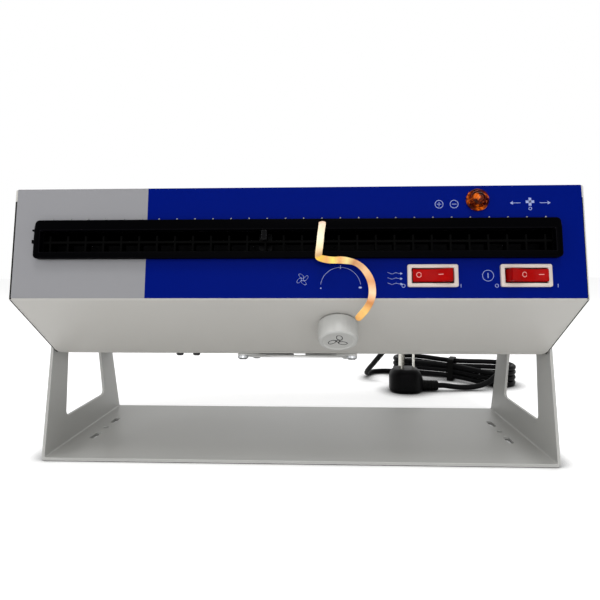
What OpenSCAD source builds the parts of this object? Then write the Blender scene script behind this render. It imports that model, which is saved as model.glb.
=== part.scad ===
// Benchtop ionizing air blower: a folded sheet housing with a slot outlet, tilting on a U stand.
// Millimetres, +Z up, origin at the middle of the stand's underside, outlet towards -Y.

/* [Housing] */
// Width over the end plates
housing_width = 364; // [340:1:400]
// Height of the closed section
housing_height = 106; // [100:1:120]
// Height of the flat front panel
panel_height = 72.7; // [68:0.1:78]
// Depth taken up by the sloping control panel
slope_depth = 61.5; // [56:0.5:64]
// Thickness of the housing sheet
sheet = 1; // [0.8:0.1:1.5]
// Outer radius of the fold between chassis bottom and end plates
chassis_fold = 4.5; // [3:0.5:6]
// Depth of the cover's lips over the end plates
lip_depth = 8; // [6:0.5:12]
// Thickness of the printed label
label_thickness = 0.4; // [0.2:0.1:0.6]

/* [Stand] */
// Thickness of the stand's sheet
stand_sheet = 2; // [1.5:0.1:3]
// Depth of the stand's base, front to back
base_depth = 136; // [120:1:160]
// Lean of the side plates' edges from vertical, in degrees
edge_lean = 13.1; // [8:0.1:15]
// Height of the tilt axis above the table
pivot_height = 120.6; // [118:0.1:140]
// Metal left above the tilt axis
ear_above = 17; // [15:1:22]
// Height of the window's lower edge
window_low = 22.5; // [15:0.5:30]
// Width of the window at its lower edge
window_width = 70; // [50:1:80]
// Height of the window
window_height = 68; // [50:1:75]
// Distance of the fixing holes from the middle
fixing_reach = 167; // [150:1:172]
// Diameter of the round fixing holes
fixing_hole = 5; // [4:0.1:6]
// Length of the fixing slots
slot_length = 15; // [12:1:20]
// Distance of the slots' middles from the round holes
slot_offset = 20; // [18:1:30]

/* [Tilt axis] */
// Distance of the tilt axis behind the front panel
pivot_setback = 100; // [96:1:106]
// Distance of the tilt axis below the cover's top
pivot_drop = 53.4; // [50:0.1:56]
// Nose-up angle at rest
tilt = 10.3; // [0:0.1:20]
// Diameter of the clamp studs
stud = 5; // [4:0.5:6]
// Thickness of the washers between housing and ears
washer_thickness = 0.9; // [0.8:0.1:1.5]
// Diameter of the clamp knobs
clamp_diameter = 28; // [24:1:34]
// Height of the clamp knobs
clamp_height = 15; // [12:1:20]

/* [Outlet duct] */
// Width of the duct's nose
duct_width = 331; // [300:1:336]
// Height of the duct's nose
duct_height = 25.6; // [24:0.2:27]
// How far the duct stands out of the panel
duct_reach = 5; // [4.5:0.5:8]
// Middle of the duct below the panel's top
duct_drop = 34.1; // [32:0.1:36]
// Height of the sloping band along the duct's top edge
duct_band = 5.6; // [4:0.1:6]
// Height of the air passage
passage_height = 14; // [12:0.5:14.5]
// Spacing of the guide vanes
vane_pitch = 11.6; // [10:0.1:14]
// Thickness of a guide vane
vane_thickness = 1.2; // [0.8:0.1:1.6]
// Number of emitter needles
needle_count = 6; // [4:1:8]
// Rest position of the needle cleaner across the duct
cleaner_x = -18; // [-60:1:10]

/* [Fan] */
// Side of the square fan frame
fan_size = 92; // [80:1:92]
// Height of the fan frame
fan_height = 25; // [25:1:30]
// Space along the fan's frame, between the slope and the rear panel
fan_room = 6.5; // [5:0.5:12]
// Number of fan blades
blade_count = 7; // [5:1:9]
// Diameter of the fan hub
hub_diameter = 36; // [32:1:40]
// Gap between blade tips and frame
tip_gap = 1; // [0.8:0.1:2]
// Wire of the finger guard
guard_wire = 1.8; // [1.5:0.1:2.5]
// Spacing of the guard's rings
ring_pitch = 7; // [6:0.5:8]

/* [Controls] */
// Distance of the speed knob to the right of the middle
speed_x = 29; // [0:1:40]
// Distance of the speed knob down the slope from its front edge
speed_down = 27.5; // [26:0.1:34]
// Diameter of the speed knob
speed_diameter = 26; // [20:1:32]
// Height of the speed knob
speed_height = 14; // [10:1:18]
// Distance of the warm switch to the right of the middle
warm_x = 87; // [75:1:92]
// Distance of the power switch to the right of the middle
power_x = 144; // [132:1:152]
// Height of the switches above the panel's lower edge
switch_rise = 14.8; // [13:0.1:16]
// Length of a switch bezel
bezel_length = 31; // [28:0.5:34]
// Height of a switch bezel
bezel_height = 14; // [12:0.5:16]
// Swing of a rocker to each side of its middle, in degrees
rocker_swing = 10; // [6:1:12]
// Distance of the lamp to the right of the middle
lamp_x = 116; // [104:1:124]
// Distance of the lamp below the panel's top
lamp_drop = 9.8; // [8:0.1:12]
// Diameter of the lamp's flange
lamp_flange = 14; // [12:0.5:16]
// Diameter of the lamp's dome
lamp_dome = 11; // [9:0.5:12]

/* [Cord] */
// Diameter of the mains cord
cord_diameter = 6; // [5:0.5:8]
// Distance of the cord's outlet to the right of the middle
gland_x = 120; // [100:1:150]
// Length of the strain relief behind the rear panel
gland_length = 24; // [20:1:30]

/* [Hidden] */
$fn = 48;

fit = 0.2;                 // clearance around a fixed piece, on each side
running = 0.05;            // clearance of a shaft or pin in its bearing, on each side
play = 0.1;                // clearance between flat faces of folded sheets

panel_y = -pivot_setback;
top_z = pivot_drop;
bottom_z = top_z - housing_height;
housing_depth = slope_depth + fan_size + fan_room;
rear_y = panel_y + housing_depth;
fan_holes = fan_size - 9.5;
panel_low = top_z - panel_height;
slope_drop = housing_height - panel_height;
slope_angle = atan(slope_drop / slope_depth);
slope_rear = panel_y + slope_depth;
half = housing_width / 2;
inner_half = half - sheet;

// Closed side outline of the housing, front top corner first
section = [[panel_y, top_z], [panel_y, panel_low], [slope_rear, bottom_z],
           [rear_y, bottom_z], [rear_y, top_z]];

function unit(v) = v / norm(v);
function left_of(a, b) = let (d = unit(b - a)) [-d[1], d[0]];

// Points of an arc that rounds the corner b between a and c
function corner(a, b, c, r, steps = 5) =
    let (u = unit(a - b), v = unit(c - b), half_angle = acos(u * v) / 2,
         centre = b + unit(u + v) * r / sin(half_angle),
         from = b + u * r / tan(half_angle) - centre,
         to = b + v * r / tan(half_angle) - centre,
         start = atan2(from[1], from[0]),
         turn = (atan2(to[1], to[0]) - start + 540) % 360 - 180)
    [for (i = [0:steps]) centre + r * [cos(start + turn * i / steps), sin(start + turn * i / steps)]];

// Closed outline with every corner rounded
function rounded(p, r, steps = 5) =
    [for (i = [0:len(p) - 1])
        each corner(p[(i + len(p) - 1) % len(p)], p[i], p[(i + 1) % len(p)], r, steps)];

// Open path with its inner corners rounded
function folded(p, r, steps = 4) =
    [for (i = [0:len(p) - 1])
        each (i == 0 || i == len(p) - 1) ? [p[i]] : corner(p[i - 1], p[i], p[i + 1], r, steps)];

// Open path moved to its left by t
function moved(p, t) =
    [for (i = [0:len(p) - 1])
        let (before = i == 0 ? left_of(p[0], p[1]) : left_of(p[i - 1], p[i]),
             after = i == len(p) - 1 ? before : left_of(p[i], p[i + 1]))
        p[i] + (before + after) / (1 + before * after) * t];

function reversed(p) = [for (i = [len(p) - 1:-1:0]) p[i]];

// Strip of sheet that lies to the left of a path
module strip(path, t) polygon(concat(path, reversed(moved(path, t))));

// Flat shape in (Y, Z) made a solid centred across X
module across(width) rotate([90, 0, 90]) linear_extrude(width, center = true) children();

// Flat shape in (X, Z) made a solid between two depths
module along(from, to) translate([0, to, 0]) rotate([90, 0, 0]) linear_extrude(to - from) children();

module block(from, to) translate(from) cube(to - from);

// Places of the housing's own frame: tilt axis at the origin, front panel upright
module on_tilt_axis() translate([0, 0, pivot_height]) rotate([-tilt, 0, 0]) children();
module on_panel(x, z) on_tilt_axis() translate([x, panel_y, z]) rotate([90, 0, 0]) children();
module on_slope(x, down)
    on_tilt_axis()
        translate([x, panel_y + down * cos(slope_angle), panel_low - down * sin(slope_angle)])
            rotate([180 - slope_angle, 0, 0]) children();
module both_sides() for (side = [0, 1]) mirror([side, 0, 0]) children();
module rod(d, from, to) translate([0, 0, from]) cylinder(d = d, h = to - from);

// ---------------------------------------------------------------- stand

stand_inner = half + sheet;
stand_outer = stand_inner + stand_sheet;
stand_fold = stand_sheet + 1;
ear_top = pivot_height + ear_above;
ear_hole = stud + 1.2;

function edge_y(z) = base_depth / 2 - z * tan(edge_lean);

module stand_bracket() color("#aeb0ae") {
    window_lean = 8.1;
    top_width = window_width - 2 * window_height * tan(window_lean);
    difference() {
        intersection() {
            along(-base_depth / 2, base_depth / 2)
                strip(folded([[-stand_outer, ear_top], [-stand_outer, 0], [stand_outer, 0],
                              [stand_outer, ear_top]], stand_fold), stand_sheet);
            across(2 * stand_outer + 2)
                polygon(concat([[-base_depth / 2, 0], [base_depth / 2, 0]],
                    corner([base_depth / 2, 0], [edge_y(ear_top), ear_top], [0, ear_top], 12),
                    corner([0, ear_top], [-edge_y(ear_top), ear_top], [-base_depth / 2, 0], 12)));
        }
        across(2 * stand_outer + 2)
            polygon(rounded([[-window_width / 2, window_low], [window_width / 2, window_low],
                             [top_width / 2, window_low + window_height],
                             [-top_width / 2, window_low + window_height]], 4));
        translate([0, 0, pivot_height]) rotate([0, 90, 0])
            cylinder(d = ear_hole, h = 2 * stand_outer + 2, center = true);
        both_sides() translate([fixing_reach, 0, -1]) {
            cylinder(d = fixing_hole, h = stand_sheet + 2);
            for (end = [-1, 1]) translate([0, end * slot_offset, 0]) {
                straight = (slot_length - fixing_hole) / 2;
                for (y = [-straight, straight]) translate([0, y, 0])
                    cylinder(d = fixing_hole, h = stand_sheet + 2);
                translate([-fixing_hole / 2, -straight, 0])
                    cube([fixing_hole, 2 * straight, stand_sheet + 2]);
            }
        }
    }
}

module pivot_washers() color("#e8e6df")
    both_sides() on_tilt_axis() rotate([0, 90, 0]) difference() {
        rod(stud * 3, stand_inner - washer_thickness, stand_inner);
        rod(ear_hole, stand_inner - 2, stand_inner + 1);
    }

// ---------------------------------------------------------------- clamp knobs on the tilt axis

nut_height = 8;
knob_start = stand_outer + play;

module clamp_knob() {
    flutes = 8;
    difference() {
        union() {
            rod(clamp_diameter * 0.6, knob_start, knob_start + 3);
            rod(clamp_diameter, knob_start + 3, knob_start + clamp_height - 2);
            translate([0, 0, knob_start + clamp_height - 2])
                cylinder(d1 = clamp_diameter, d2 = clamp_diameter - 5, h = 2);
        }
        for (i = [0:flutes - 1]) rotate(i * 360 / flutes) translate([clamp_diameter / 2 + 2, 0, 0])
            rod(7, knob_start + 2.9, knob_start + clamp_height + 1);
        rod(stud, knob_start - 1, knob_start + clamp_height - 5);
    }
}

module clamp_stud() rod(stud, inner_half - nut_height + 1, knob_start + clamp_height - 5);

module clamp_knob_right() color("#1b1b1b") on_tilt_axis() rotate([0, 90, 0]) clamp_knob();
module clamp_stud_right() color("#b9bcc0") on_tilt_axis() rotate([0, 90, 0]) clamp_stud();
module clamp_knob_left() color("#1b1b1b") on_tilt_axis() rotate([0, -90, 0]) clamp_knob();
module clamp_stud_left() color("#b9bcc0") on_tilt_axis() rotate([0, -90, 0]) clamp_stud();

module pivot_nuts() color("#c9c4b2")
    both_sides() on_tilt_axis() rotate([0, 90, 0]) difference() {
        translate([0, 0, inner_half - nut_height]) cylinder(d = 14, h = nut_height, $fn = 6);
        rod(stud + 2 * running, inner_half - nut_height - 1, inner_half + 1);
    }

// ---------------------------------------------------------------- housing sheets

fan_y = (slope_rear + rear_y) / 2;
fan_floor = bottom_z + sheet;
intake = fan_size - 6;
side_screws = [[panel_y + 12, panel_low - 1], [panel_y + 12, top_z - lip_depth / 2],
               [rear_y - 12, top_z - lip_depth / 2]];
side_screw = 3;
hv_x = -(fan_size / 2 + 39);
hv_screw_x = [hv_x - 6.5, hv_x + 6.5];
hv_screw_y = slope_rear + 14;
board_x = fan_size / 2 + 64;
board_y = fan_y;
board_holes = [86, 66];

module at_each_fan_hole()
    for (x = [-1, 1], y = [-1, 1]) translate([x * fan_holes / 2, fan_y + y * fan_holes / 2, 0]) children();
module at_each_board_hole()
    for (x = [-1, 1], y = [-1, 1])
        translate([board_x + x * board_holes[0] / 2, board_y + y * board_holes[1] / 2, 0]) children();

module chassis_pan() color("#a9a9a6") on_tilt_axis() {
    lip_line = top_z - lip_depth - play;
    difference() {
        intersection() {
            along(panel_y, rear_y)
                strip(folded([[-half, lip_line], [-half, bottom_z], [half, bottom_z],
                              [half, lip_line]], chassis_fold), sheet);
            across(housing_width + 2) polygon(section);
        }
        translate([0, fan_y, bottom_z - 1]) cylinder(d = intake, h = sheet + 2, $fn = 72);
        at_each_fan_hole() rod(4 + 2 * fit, bottom_z - 1, fan_floor + 1);
        at_each_board_hole() rod(3 + 2 * fit, bottom_z - 1, fan_floor + 1);
        for (x = hv_screw_x) translate([x, hv_screw_y, 0]) rod(3 + 2 * fit, bottom_z - 1, fan_floor + 1);
        rotate([0, 90, 0]) cylinder(d = stud + 2 * fit, h = housing_width + 2, center = true);
        translate([0, side_screws[0][0], side_screws[0][1]]) rotate([0, 90, 0])
            cylinder(d = side_screw + 2 * fit, h = housing_width + 2, center = true);
    }
}

duct_z = top_z - duct_drop;
duct_low = duct_z - duct_height / 2;
duct_top = duct_z + duct_height / 2;
duct_front = panel_y - duct_reach;
duct_wall = 4;
duct_lip = 0.6;            // flat rim along the duct's top, against the panel
passage_low = duct_low + duct_wall;
passage_top = passage_low + passage_height;
passage_half = duct_width / 2 - 4;
throat_wall = 2;
throat_rear = panel_y + 25;
switch_z = panel_low + switch_rise;
lamp_z = top_z - lamp_drop;
lamp_thread = 8;
bush = 7;
switch_case = [bezel_length - 4, bezel_height - 2.4, 19];

module throat_outline(extra = 0)
    translate([-passage_half - throat_wall - extra, passage_low - throat_wall - extra])
        square([2 * (passage_half + throat_wall + extra), passage_height + 2 * (throat_wall + extra)]);

module front_cover() color("#9c9d9a") {
    path = folded([[rear_y, top_z], [panel_y, top_z], [panel_y, panel_low], [slope_rear, bottom_z]], 1.6);
    lip_line = top_z - lip_depth;
    inside = inner_half - play;
    floor_z = fan_floor + play;
    difference() {
        on_tilt_axis() difference() {
            union() {
                intersection() {
                    across(housing_width) strip(path, sheet);
                    along(panel_y - 1, rear_y + 1) polygon(concat(
                        [[-half, lip_line], [-half, top_z + 1], [half, top_z + 1], [half, lip_line],
                         [inside, lip_line]],
                        corner([inside, 0], [inside, floor_z], [0, floor_z], chassis_fold - sheet),
                        corner([0, floor_z], [-inside, floor_z], [-inside, 0], chassis_fold - sheet),
                        [[-inside, lip_line]]));
                }
                both_sides() intersection() {
                    translate([half - sheet / 2, 0, 0]) across(sheet) polygon(section);
                    block([0, panel_y + 1.6, lip_line], [half + 1, rear_y, top_z - 0.5]);
                }
            }
            along(panel_y - 1, panel_y + sheet + 1) throat_outline(fit);
            for (x = [warm_x, power_x])
                block([x - switch_case[0] / 2 - fit, panel_y - 1, switch_z - switch_case[1] / 2 - fit],
                      [x + switch_case[0] / 2 + fit, panel_y + 3, switch_z + switch_case[1] / 2 + fit]);
            for (i = [1, 2]) translate([0, side_screws[i][0], side_screws[i][1]]) rotate([0, 90, 0])
                cylinder(d = side_screw + 2 * fit, h = housing_width + 2, center = true);
        }
        on_panel(lamp_x, lamp_z) rod(lamp_thread + 2 * fit, -sheet - 1, 1);
        on_slope(speed_x, speed_down) rod(bush + 2 * fit, -sheet - 1, 1);
    }
}

module rear_panel() color("#a3a3a0") on_tilt_axis() {
    low = fan_floor + play;
    high = top_z - sheet - play;
    flange = 12;
    difference() {
        across(2 * (inner_half - play))
            strip(folded([[rear_y - flange, low], [rear_y, low], [rear_y, high],
                          [rear_y - flange, high]], 1.6), sheet);
        block([-fan_size / 2 - 3, rear_y - flange - 1, low - 1],
              [fan_size / 2 + 3, rear_y - sheet, low + 3]);
        // the folds in the chassis corners
        both_sides() block([inner_half - chassis_fold, rear_y - flange - 1, low - 1],
                           [inner_half + 1, rear_y + 1, low + chassis_fold]);
        translate([gland_x, rear_y, 0]) rotate([90, 0, 0])
            cylinder(d = cord_diameter + 6 + 2 * fit, h = 2 * sheet + 2, center = true);
    }
}

module front_label() color("#1a2a7a") {
    side_margin = 1.5;
    low_margin = 2;
    difference() {
        on_tilt_axis() difference() {
            block([-inner_half + side_margin, panel_y - label_thickness, panel_low + low_margin],
                  [inner_half - side_margin, panel_y, top_z - 2]);
            block([-duct_width / 2 - fit, panel_y - 1, duct_low - fit],
                  [duct_width / 2 + fit, panel_y + 1, duct_top + fit]);
            for (x = [warm_x, power_x])
                block([x - bezel_length / 2 - fit, panel_y - 1, switch_z - bezel_height / 2 - fit],
                      [x + bezel_length / 2 + fit, panel_y + 1, switch_z + bezel_height / 2 + fit]);
        }
        on_panel(lamp_x, lamp_z) rod(lamp_flange + 2 * fit, -1, 1);
    }
}

module screw(head, shank, length) {
    rod(head, 0, head * 0.22);
    translate([0, 0, head * 0.22]) cylinder(d1 = head, d2 = head * 0.6, h = head * 0.14);
    rod(shank, -length, 0.01);
}

module cover_screws() color("#c4c6c8") on_tilt_axis() {
    both_sides() for (p = side_screws)
        translate([half, p[0], p[1]]) rotate([0, 90, 0]) screw(5.5, side_screw, 6);
}

// ---------------------------------------------------------------- outlet duct and emitters

vane_front = duct_front + 4;
vane_rear = vane_front + 7;
slider_slot = 3;
louvre = 1.4;
vane_top = passage_top - slider_slot;
bar_front = panel_y + 17;
bar_rear = bar_front + 6;
bar_height = 4;
needle_length = 6;
needle_z = passage_low + passage_height / 2;
needle_tip = bar_front - needle_length;
needle_pitch = 2 * passage_half / needle_count;
lead_diameter = 2.6;
heater_depth = 11;

module outlet_duct() color("#151515") on_tilt_axis() difference() {
    union() {
        intersection() {
            across(duct_width) polygon([[panel_y, duct_low], [panel_y, duct_top],
                [panel_y - duct_lip, duct_top], [duct_front, duct_top - duct_band],
                [duct_front, duct_low]]);
            along(duct_front, panel_y)
                polygon(rounded([[-duct_width / 2, duct_low], [duct_width / 2, duct_low],
                                 [duct_width / 2, duct_top], [-duct_width / 2, duct_top]], 2));
        }
        along(panel_y, throat_rear) throat_outline();
    }
    block([-passage_half, duct_front - 1, passage_low], [passage_half, throat_rear + 1, passage_top]);
    // way in for the high-voltage lead
    translate([-passage_half, (bar_front + bar_rear) / 2, needle_z]) rotate([0, 90, 0])
        rod(lead_diameter + 2 * fit, -throat_wall - 1, 1);
}

module outlet_vanes() color("#1d1d1f") on_tilt_axis() {
    count = floor((2 * passage_half - 2) / vane_pitch) + 1;
    block([-passage_half, vane_front, passage_low], [passage_half, vane_rear, passage_low + 1]);
    block([-passage_half, vane_front, needle_z - louvre / 2], [passage_half, vane_rear, needle_z + louvre / 2]);
    for (i = [0:count - 1])
        translate([(i - (count - 1) / 2) * vane_pitch, 0, 0])
            block([-vane_thickness / 2, vane_front, passage_low + 0.9],
                  [vane_thickness / 2, vane_rear, vane_top]);
}

module emitter_bar() color("#e9e4d4") on_tilt_axis()
    difference() {
        block([-passage_half, bar_front, needle_z - bar_height / 2],
              [passage_half, bar_rear, needle_z + bar_height / 2]);
        at_each_needle() rod(1, 0, 20);
    }

module at_each_needle()
    for (i = [0:needle_count - 1])
        translate([(i - (needle_count - 1) / 2) * needle_pitch, needle_tip, needle_z])
            rotate([-90, 0, 0]) children();

module emitter_needles() color("#d8d8da") on_tilt_axis() at_each_needle() {
    cylinder(d1 = 0.1, d2 = 1, h = 3);
    rod(1, 3, needle_length + 4);
}

module needle_cleaner() color("#242426") on_tilt_axis() translate([cleaner_x, 0, 0]) {
    top = passage_top - 0.4;
    stem_low = vane_top + 0.4;
    grip_rear = vane_front - 0.3;
    block([-1.5, duct_front + 0.4, needle_z + louvre / 2], [1.5, grip_rear, top]);
    block([-1.5, grip_rear - 0.1, stem_low], [1.5, vane_rear + 0.5, top]);
    block([-4, vane_rear + 0.4, needle_z - 4], [4, vane_rear + 1.4, top]);
}

module cleaner_bristles() color("#c9b98a") on_tilt_axis() translate([cleaner_x, 0, 0])
    for (x = [-3:1.5:3], z = [-3:1.5:3])
        translate([x, vane_rear + 1.4, needle_z + z]) rotate([-90, 0, 0])
            rod(0.7, 0, needle_tip - vane_rear - 1.7);

module heater() color("#b8bcc2") on_tilt_axis() {
    front = throat_rear;
    depth = heater_depth;
    low = passage_low;
    reach = passage_half - 12;
    fins = 44;
    block([-passage_half, front, low - 2], [-reach, front + depth, passage_top + 2]);
    block([reach, front, low - 2], [passage_half, front + depth, passage_top + 2]);
    for (z = [low, needle_z - 0.5, passage_top - 1])
        block([-reach - 0.1, front + 0.5, z], [reach + 0.1, front + depth - 0.5, z + 1]);
    for (i = [0:fins - 1]) translate([(i - (fins - 1) / 2) * 2 * (reach - 2) / fins, 0, 0])
        block([-0.3, front + 1, low + 0.5], [0.3, front + depth - 1, passage_top - 0.5]);
}

// ---------------------------------------------------------------- fan and air chamber

fan_top = fan_floor + fan_height;
fan_bore = fan_size - 4;
motor_plate = 3;
rotor_low = fan_floor + 1.5;
hub_height = 16;
motor_diameter = hub_diameter - 8;
shaft = 4;
bearing = 8;
shaft_top = fan_top - motor_plate - 1;

module air_chamber() color("#b4b4b0") on_tilt_axis() {
    front = throat_rear + heater_depth + play;
    low = passage_low - 2;
    roof = passage_top + 2;
    high = top_z - 2 * sheet;
    back = rear_y - 8;
    upper = folded([[front, roof], [front + 7, roof], [fan_y - 24, high], [fan_y + 16, high], [back, high - 30],
                    [back, fan_top]], 12);
    lower = folded([[front, low], [fan_y - fan_size / 2 - 1, fan_top], [back, fan_top]], 6);
    difference() {
        union() {
            across(2 * passage_half) {
                strip(upper, sheet);
                strip(lower, sheet);
            }
            both_sides() translate([passage_half, 0, 0]) across(sheet)
                polygon(concat(moved(upper, sheet), reversed(lower)));
        }
        translate([0, fan_y, fan_top - 1]) cylinder(d = fan_bore, h = sheet + 2, $fn = 72);
    }
}

module fan_frame() color("#202022") on_tilt_axis() {
    struts = 4;
    difference() {
        union() {
            difference() {
                translate([0, fan_y, fan_floor]) linear_extrude(fan_height)
                    polygon(rounded([for (c = [[1, 1], [-1, 1], [-1, -1], [1, -1]]) c * fan_size / 2], 4));
                translate([0, fan_y, fan_floor - 1]) cylinder(d = fan_bore, h = fan_height + 2, $fn = 96);
                // waist between the two flanges
                for (turn = [0:90:270]) translate([0, fan_y, 0]) rotate(turn)
                    block([-fan_size / 2 + 12, fan_size / 2 - 1.2, fan_floor + 4],
                          [fan_size / 2 - 12, fan_size / 2 + 1, fan_top - 4]);
            }
            translate([0, fan_y, 0]) {
                rod(hub_diameter, fan_top - motor_plate, fan_top);
                for (i = [0:struts - 1]) rotate(i * 360 / struts + 20)
                    block([hub_diameter / 2 - 1, -2, fan_top - motor_plate + 0.1],
                          [fan_bore / 2 + 0.8, 2, fan_top - 0.1]);
            }
        }
        translate([0, fan_y, 0]) rod(bearing, fan_top - motor_plate - 1, fan_top + 1);
        at_each_fan_hole() rod(4 + 2 * fit, fan_floor - 1, fan_top + 1);
    }
}

module fan_motor() color("#b06a35") on_tilt_axis() translate([0, fan_y, 0]) {
    slots = 6;
    top = fan_top - motor_plate;
    difference() {
        rod(motor_diameter, rotor_low + 4, top);
        rod(bearing, rotor_low + 3, top + 1);
        for (i = [0:slots - 1]) rotate(i * 360 / slots) translate([motor_diameter / 2, 0, 0])
            rod(5, rotor_low + 3, top - 2);
    }
}

module fan_bearing() color("#c9a23c") on_tilt_axis() translate([0, fan_y, 0]) difference() {
    rod(bearing, rotor_low + 4, fan_top);
    rod(shaft + 2 * running, rotor_low + 3, shaft_top + 0.5);
}

module fan_rotor() color("#2b2b2e") on_tilt_axis() translate([0, fan_y, rotor_low]) {
    tip = fan_bore / 2 - tip_gap;
    chord = 26;
    camber = 34;
    difference() {
        union() {
            cylinder(d1 = hub_diameter - 2, d2 = hub_diameter, h = 1);
            translate([0, 0, 1]) cylinder(d = hub_diameter, h = hub_height - 1);
        }
        translate([0, 0, 2]) cylinder(d = motor_diameter + 4, h = hub_height);
    }
    rod(shaft, 1.9, shaft_top - rotor_low);
    intersection() {
        difference() {
            translate([0, 0, 0.5]) cylinder(r = tip, h = hub_height - 1, $fn = 96);
            cylinder(d = hub_diameter - 1, h = 3 * hub_height, center = true);
        }
        for (i = [0:blade_count - 1]) rotate(i * 360 / blade_count)
            translate([0, 0, hub_height / 2]) rotate([38, 0, 0]) translate([0, 0, -camber])
                rotate([0, 90, 0]) difference() {
                    intersection() {
                        cylinder(r = camber + 0.8, h = tip + 2);
                        translate([-camber - 2, -chord / 2, 0]) cube([12, chord, tip + 2]);
                    }
                    translate([0, 0, -1]) cylinder(r = camber - 0.8, h = tip + 4);
                }
    }
}

module ring(r, d, z) translate([0, 0, z]) rotate_extrude($fn = 72) translate([r, 0]) circle(d = d, $fn = 20);

module finger_guard() color("#c8cacc") on_tilt_axis() translate([0, fan_y, 0]) {
    spoke_z = bottom_z - guard_wire / 2;
    ring_z = spoke_z - guard_wire + 0.4;
    rings = floor((fan_bore / 2 - 8) / ring_pitch);
    eye = fan_holes / sqrt(2);
    for (i = [0:rings]) ring(8 + i * ring_pitch, guard_wire, ring_z);
    for (i = [0:3]) rotate(45 + 90 * i) {
        translate([8, 0, spoke_z]) rotate([0, 90, 0]) cylinder(d = guard_wire, h = eye - 8 - 3.2, $fn = 20);
        translate([eye, 0, 0]) ring(3.2, guard_wire, spoke_z);
    }
}

module guard_screws() color("#a8aaae") on_tilt_axis()
    at_each_fan_hole() translate([0, 0, bottom_z - guard_wire]) mirror([0, 0, 1]) screw(8, 4, 12);

// ---------------------------------------------------------------- electrical pieces

hv_height = 22;
hv_half = 32;
board_z = fan_floor + 6;
board_thickness = 1.6;
board_top = board_z + board_thickness;
terminal_rear = 31;
gland_tail = 2;

module hv_module() color("#26262a") on_tilt_axis() difference() {
    block([hv_x - hv_half, hv_screw_y - 7.5, fan_floor], [hv_x + hv_half, hv_screw_y + 34.5, fan_floor + hv_height]);
    for (x = hv_screw_x) translate([x, hv_screw_y, 0]) rod(3, fan_floor - 1, fan_floor + 6);
}

module hv_screws() color("#161616") on_tilt_axis()
    for (x = hv_screw_x) translate([x, hv_screw_y, bottom_z]) mirror([0, 0, 1]) screw(5.5, 3, 6);

// Round wire through a list of points
module wire(p, d) {
    for (i = [0:len(p) - 2])
        let (v = p[i + 1] - p[i])
            translate(p[i]) rotate([0, acos(v[2] / norm(v)), atan2(v[1], v[0])])
                cylinder(d = d, h = norm(v), $fn = 16);
    if (len(p) > 2)
        for (i = [1:len(p) - 2]) translate(p[i]) sphere(d = d, $fn = 16);
}

module hv_lead() color("#b5322b") on_tilt_axis() {
    clear_x = -passage_half - 12;
    lead_y = (bar_front + bar_rear) / 2;
    wire([[hv_x - hv_half, hv_screw_y, fan_floor + 12], [clear_x, hv_screw_y, fan_floor + 12],
          [clear_x, hv_screw_y, needle_z], [clear_x, lead_y, needle_z], [-passage_half, lead_y, needle_z]],
         lead_diameter);
}

module control_board() color("#2f6b3c") on_tilt_axis() difference() {
    block([board_x - board_holes[0] / 2 - 4, board_y - board_holes[1] / 2 - 4, board_z],
          [board_x + board_holes[0] / 2 + 4, board_y + board_holes[1] / 2 + 4, board_top]);
    at_each_board_hole() rod(3 + 2 * fit, board_z - 1, board_top + 1);
}

module board_spacers() color("#c9b15c") on_tilt_axis() at_each_board_hole() difference() {
    translate([0, 0, fan_floor]) cylinder(d = 6.5, h = board_z - fan_floor, $fn = 6);
    rod(3, fan_floor - 1, board_z + 1);
}

module board_parts() color("#3a5f8f") on_tilt_axis() translate([board_x, board_y, board_top]) {
    block([-30, -28, 0], [-2, -6, 14]);
    block([8, -28, 0], [26, -14, 12]);
    for (x = [-22, -6, 10]) translate([x, 8, 0]) cylinder(d = 11, h = 15);
    block([22, -6, 0], [36, 12, 10]);
    // terminal block for the mains leads
    block([gland_x - board_x - 12, terminal_rear - 11, 0], [gland_x - board_x + 12, terminal_rear, 11]);
}

module mains_wires() color("#3b3b3f") on_tilt_axis() {
    sheath = 3.6;
    inside_y = rear_y - sheet - gland_tail - sheath / 2;
    wire([[gland_x, inside_y, 1], [gland_x, inside_y, board_top + 6],
          [gland_x, board_y + terminal_rear, board_top + 6]], sheath);
}

module cord_gland() color("#111113") on_tilt_axis() translate([gland_x, rear_y, 0]) rotate([-90, 0, 0]) {
    neck = cord_diameter + 6;
    difference() {
        union() {
            rod(neck, -sheet - gland_tail, 0.1);
            rod(neck + 5, 0, 3);
            translate([0, 0, 2.9]) cylinder(d1 = neck - 1, d2 = cord_diameter + 2.4, h = gland_length - 2.9);
        }
        rod(cord_diameter, -sheet - gland_tail - 1, gland_length - 5);
        // flexing grooves
        for (i = [0:4]) translate([0, 0, 6 + i * 3.2]) difference() {
            rod(neck + 2, 0, 1.2);
            rod(cord_diameter + 1.8, -1, 3);
        }
    }
}

// ---------------------------------------------------------------- controls

pot_diameter = 17;
pot_height = 10;
pot_shaft = 6;
pin = 2;

module potentiometer() color("#8c9096") on_slope(speed_x, speed_down) difference() {
    union() {
        rod(pot_diameter, -sheet - pot_height, -sheet);
        rod(bush, -sheet - 0.1, 5);
    }
    rod(pot_shaft + 2 * running, -sheet - pot_height - 1, 6);
}

module pot_nut() color("#cfd0d2") on_slope(speed_x, speed_down) difference() {
    cylinder(d = 11.5, h = 2.2, $fn = 6);
    rod(bush, -1, 3);
}

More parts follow.
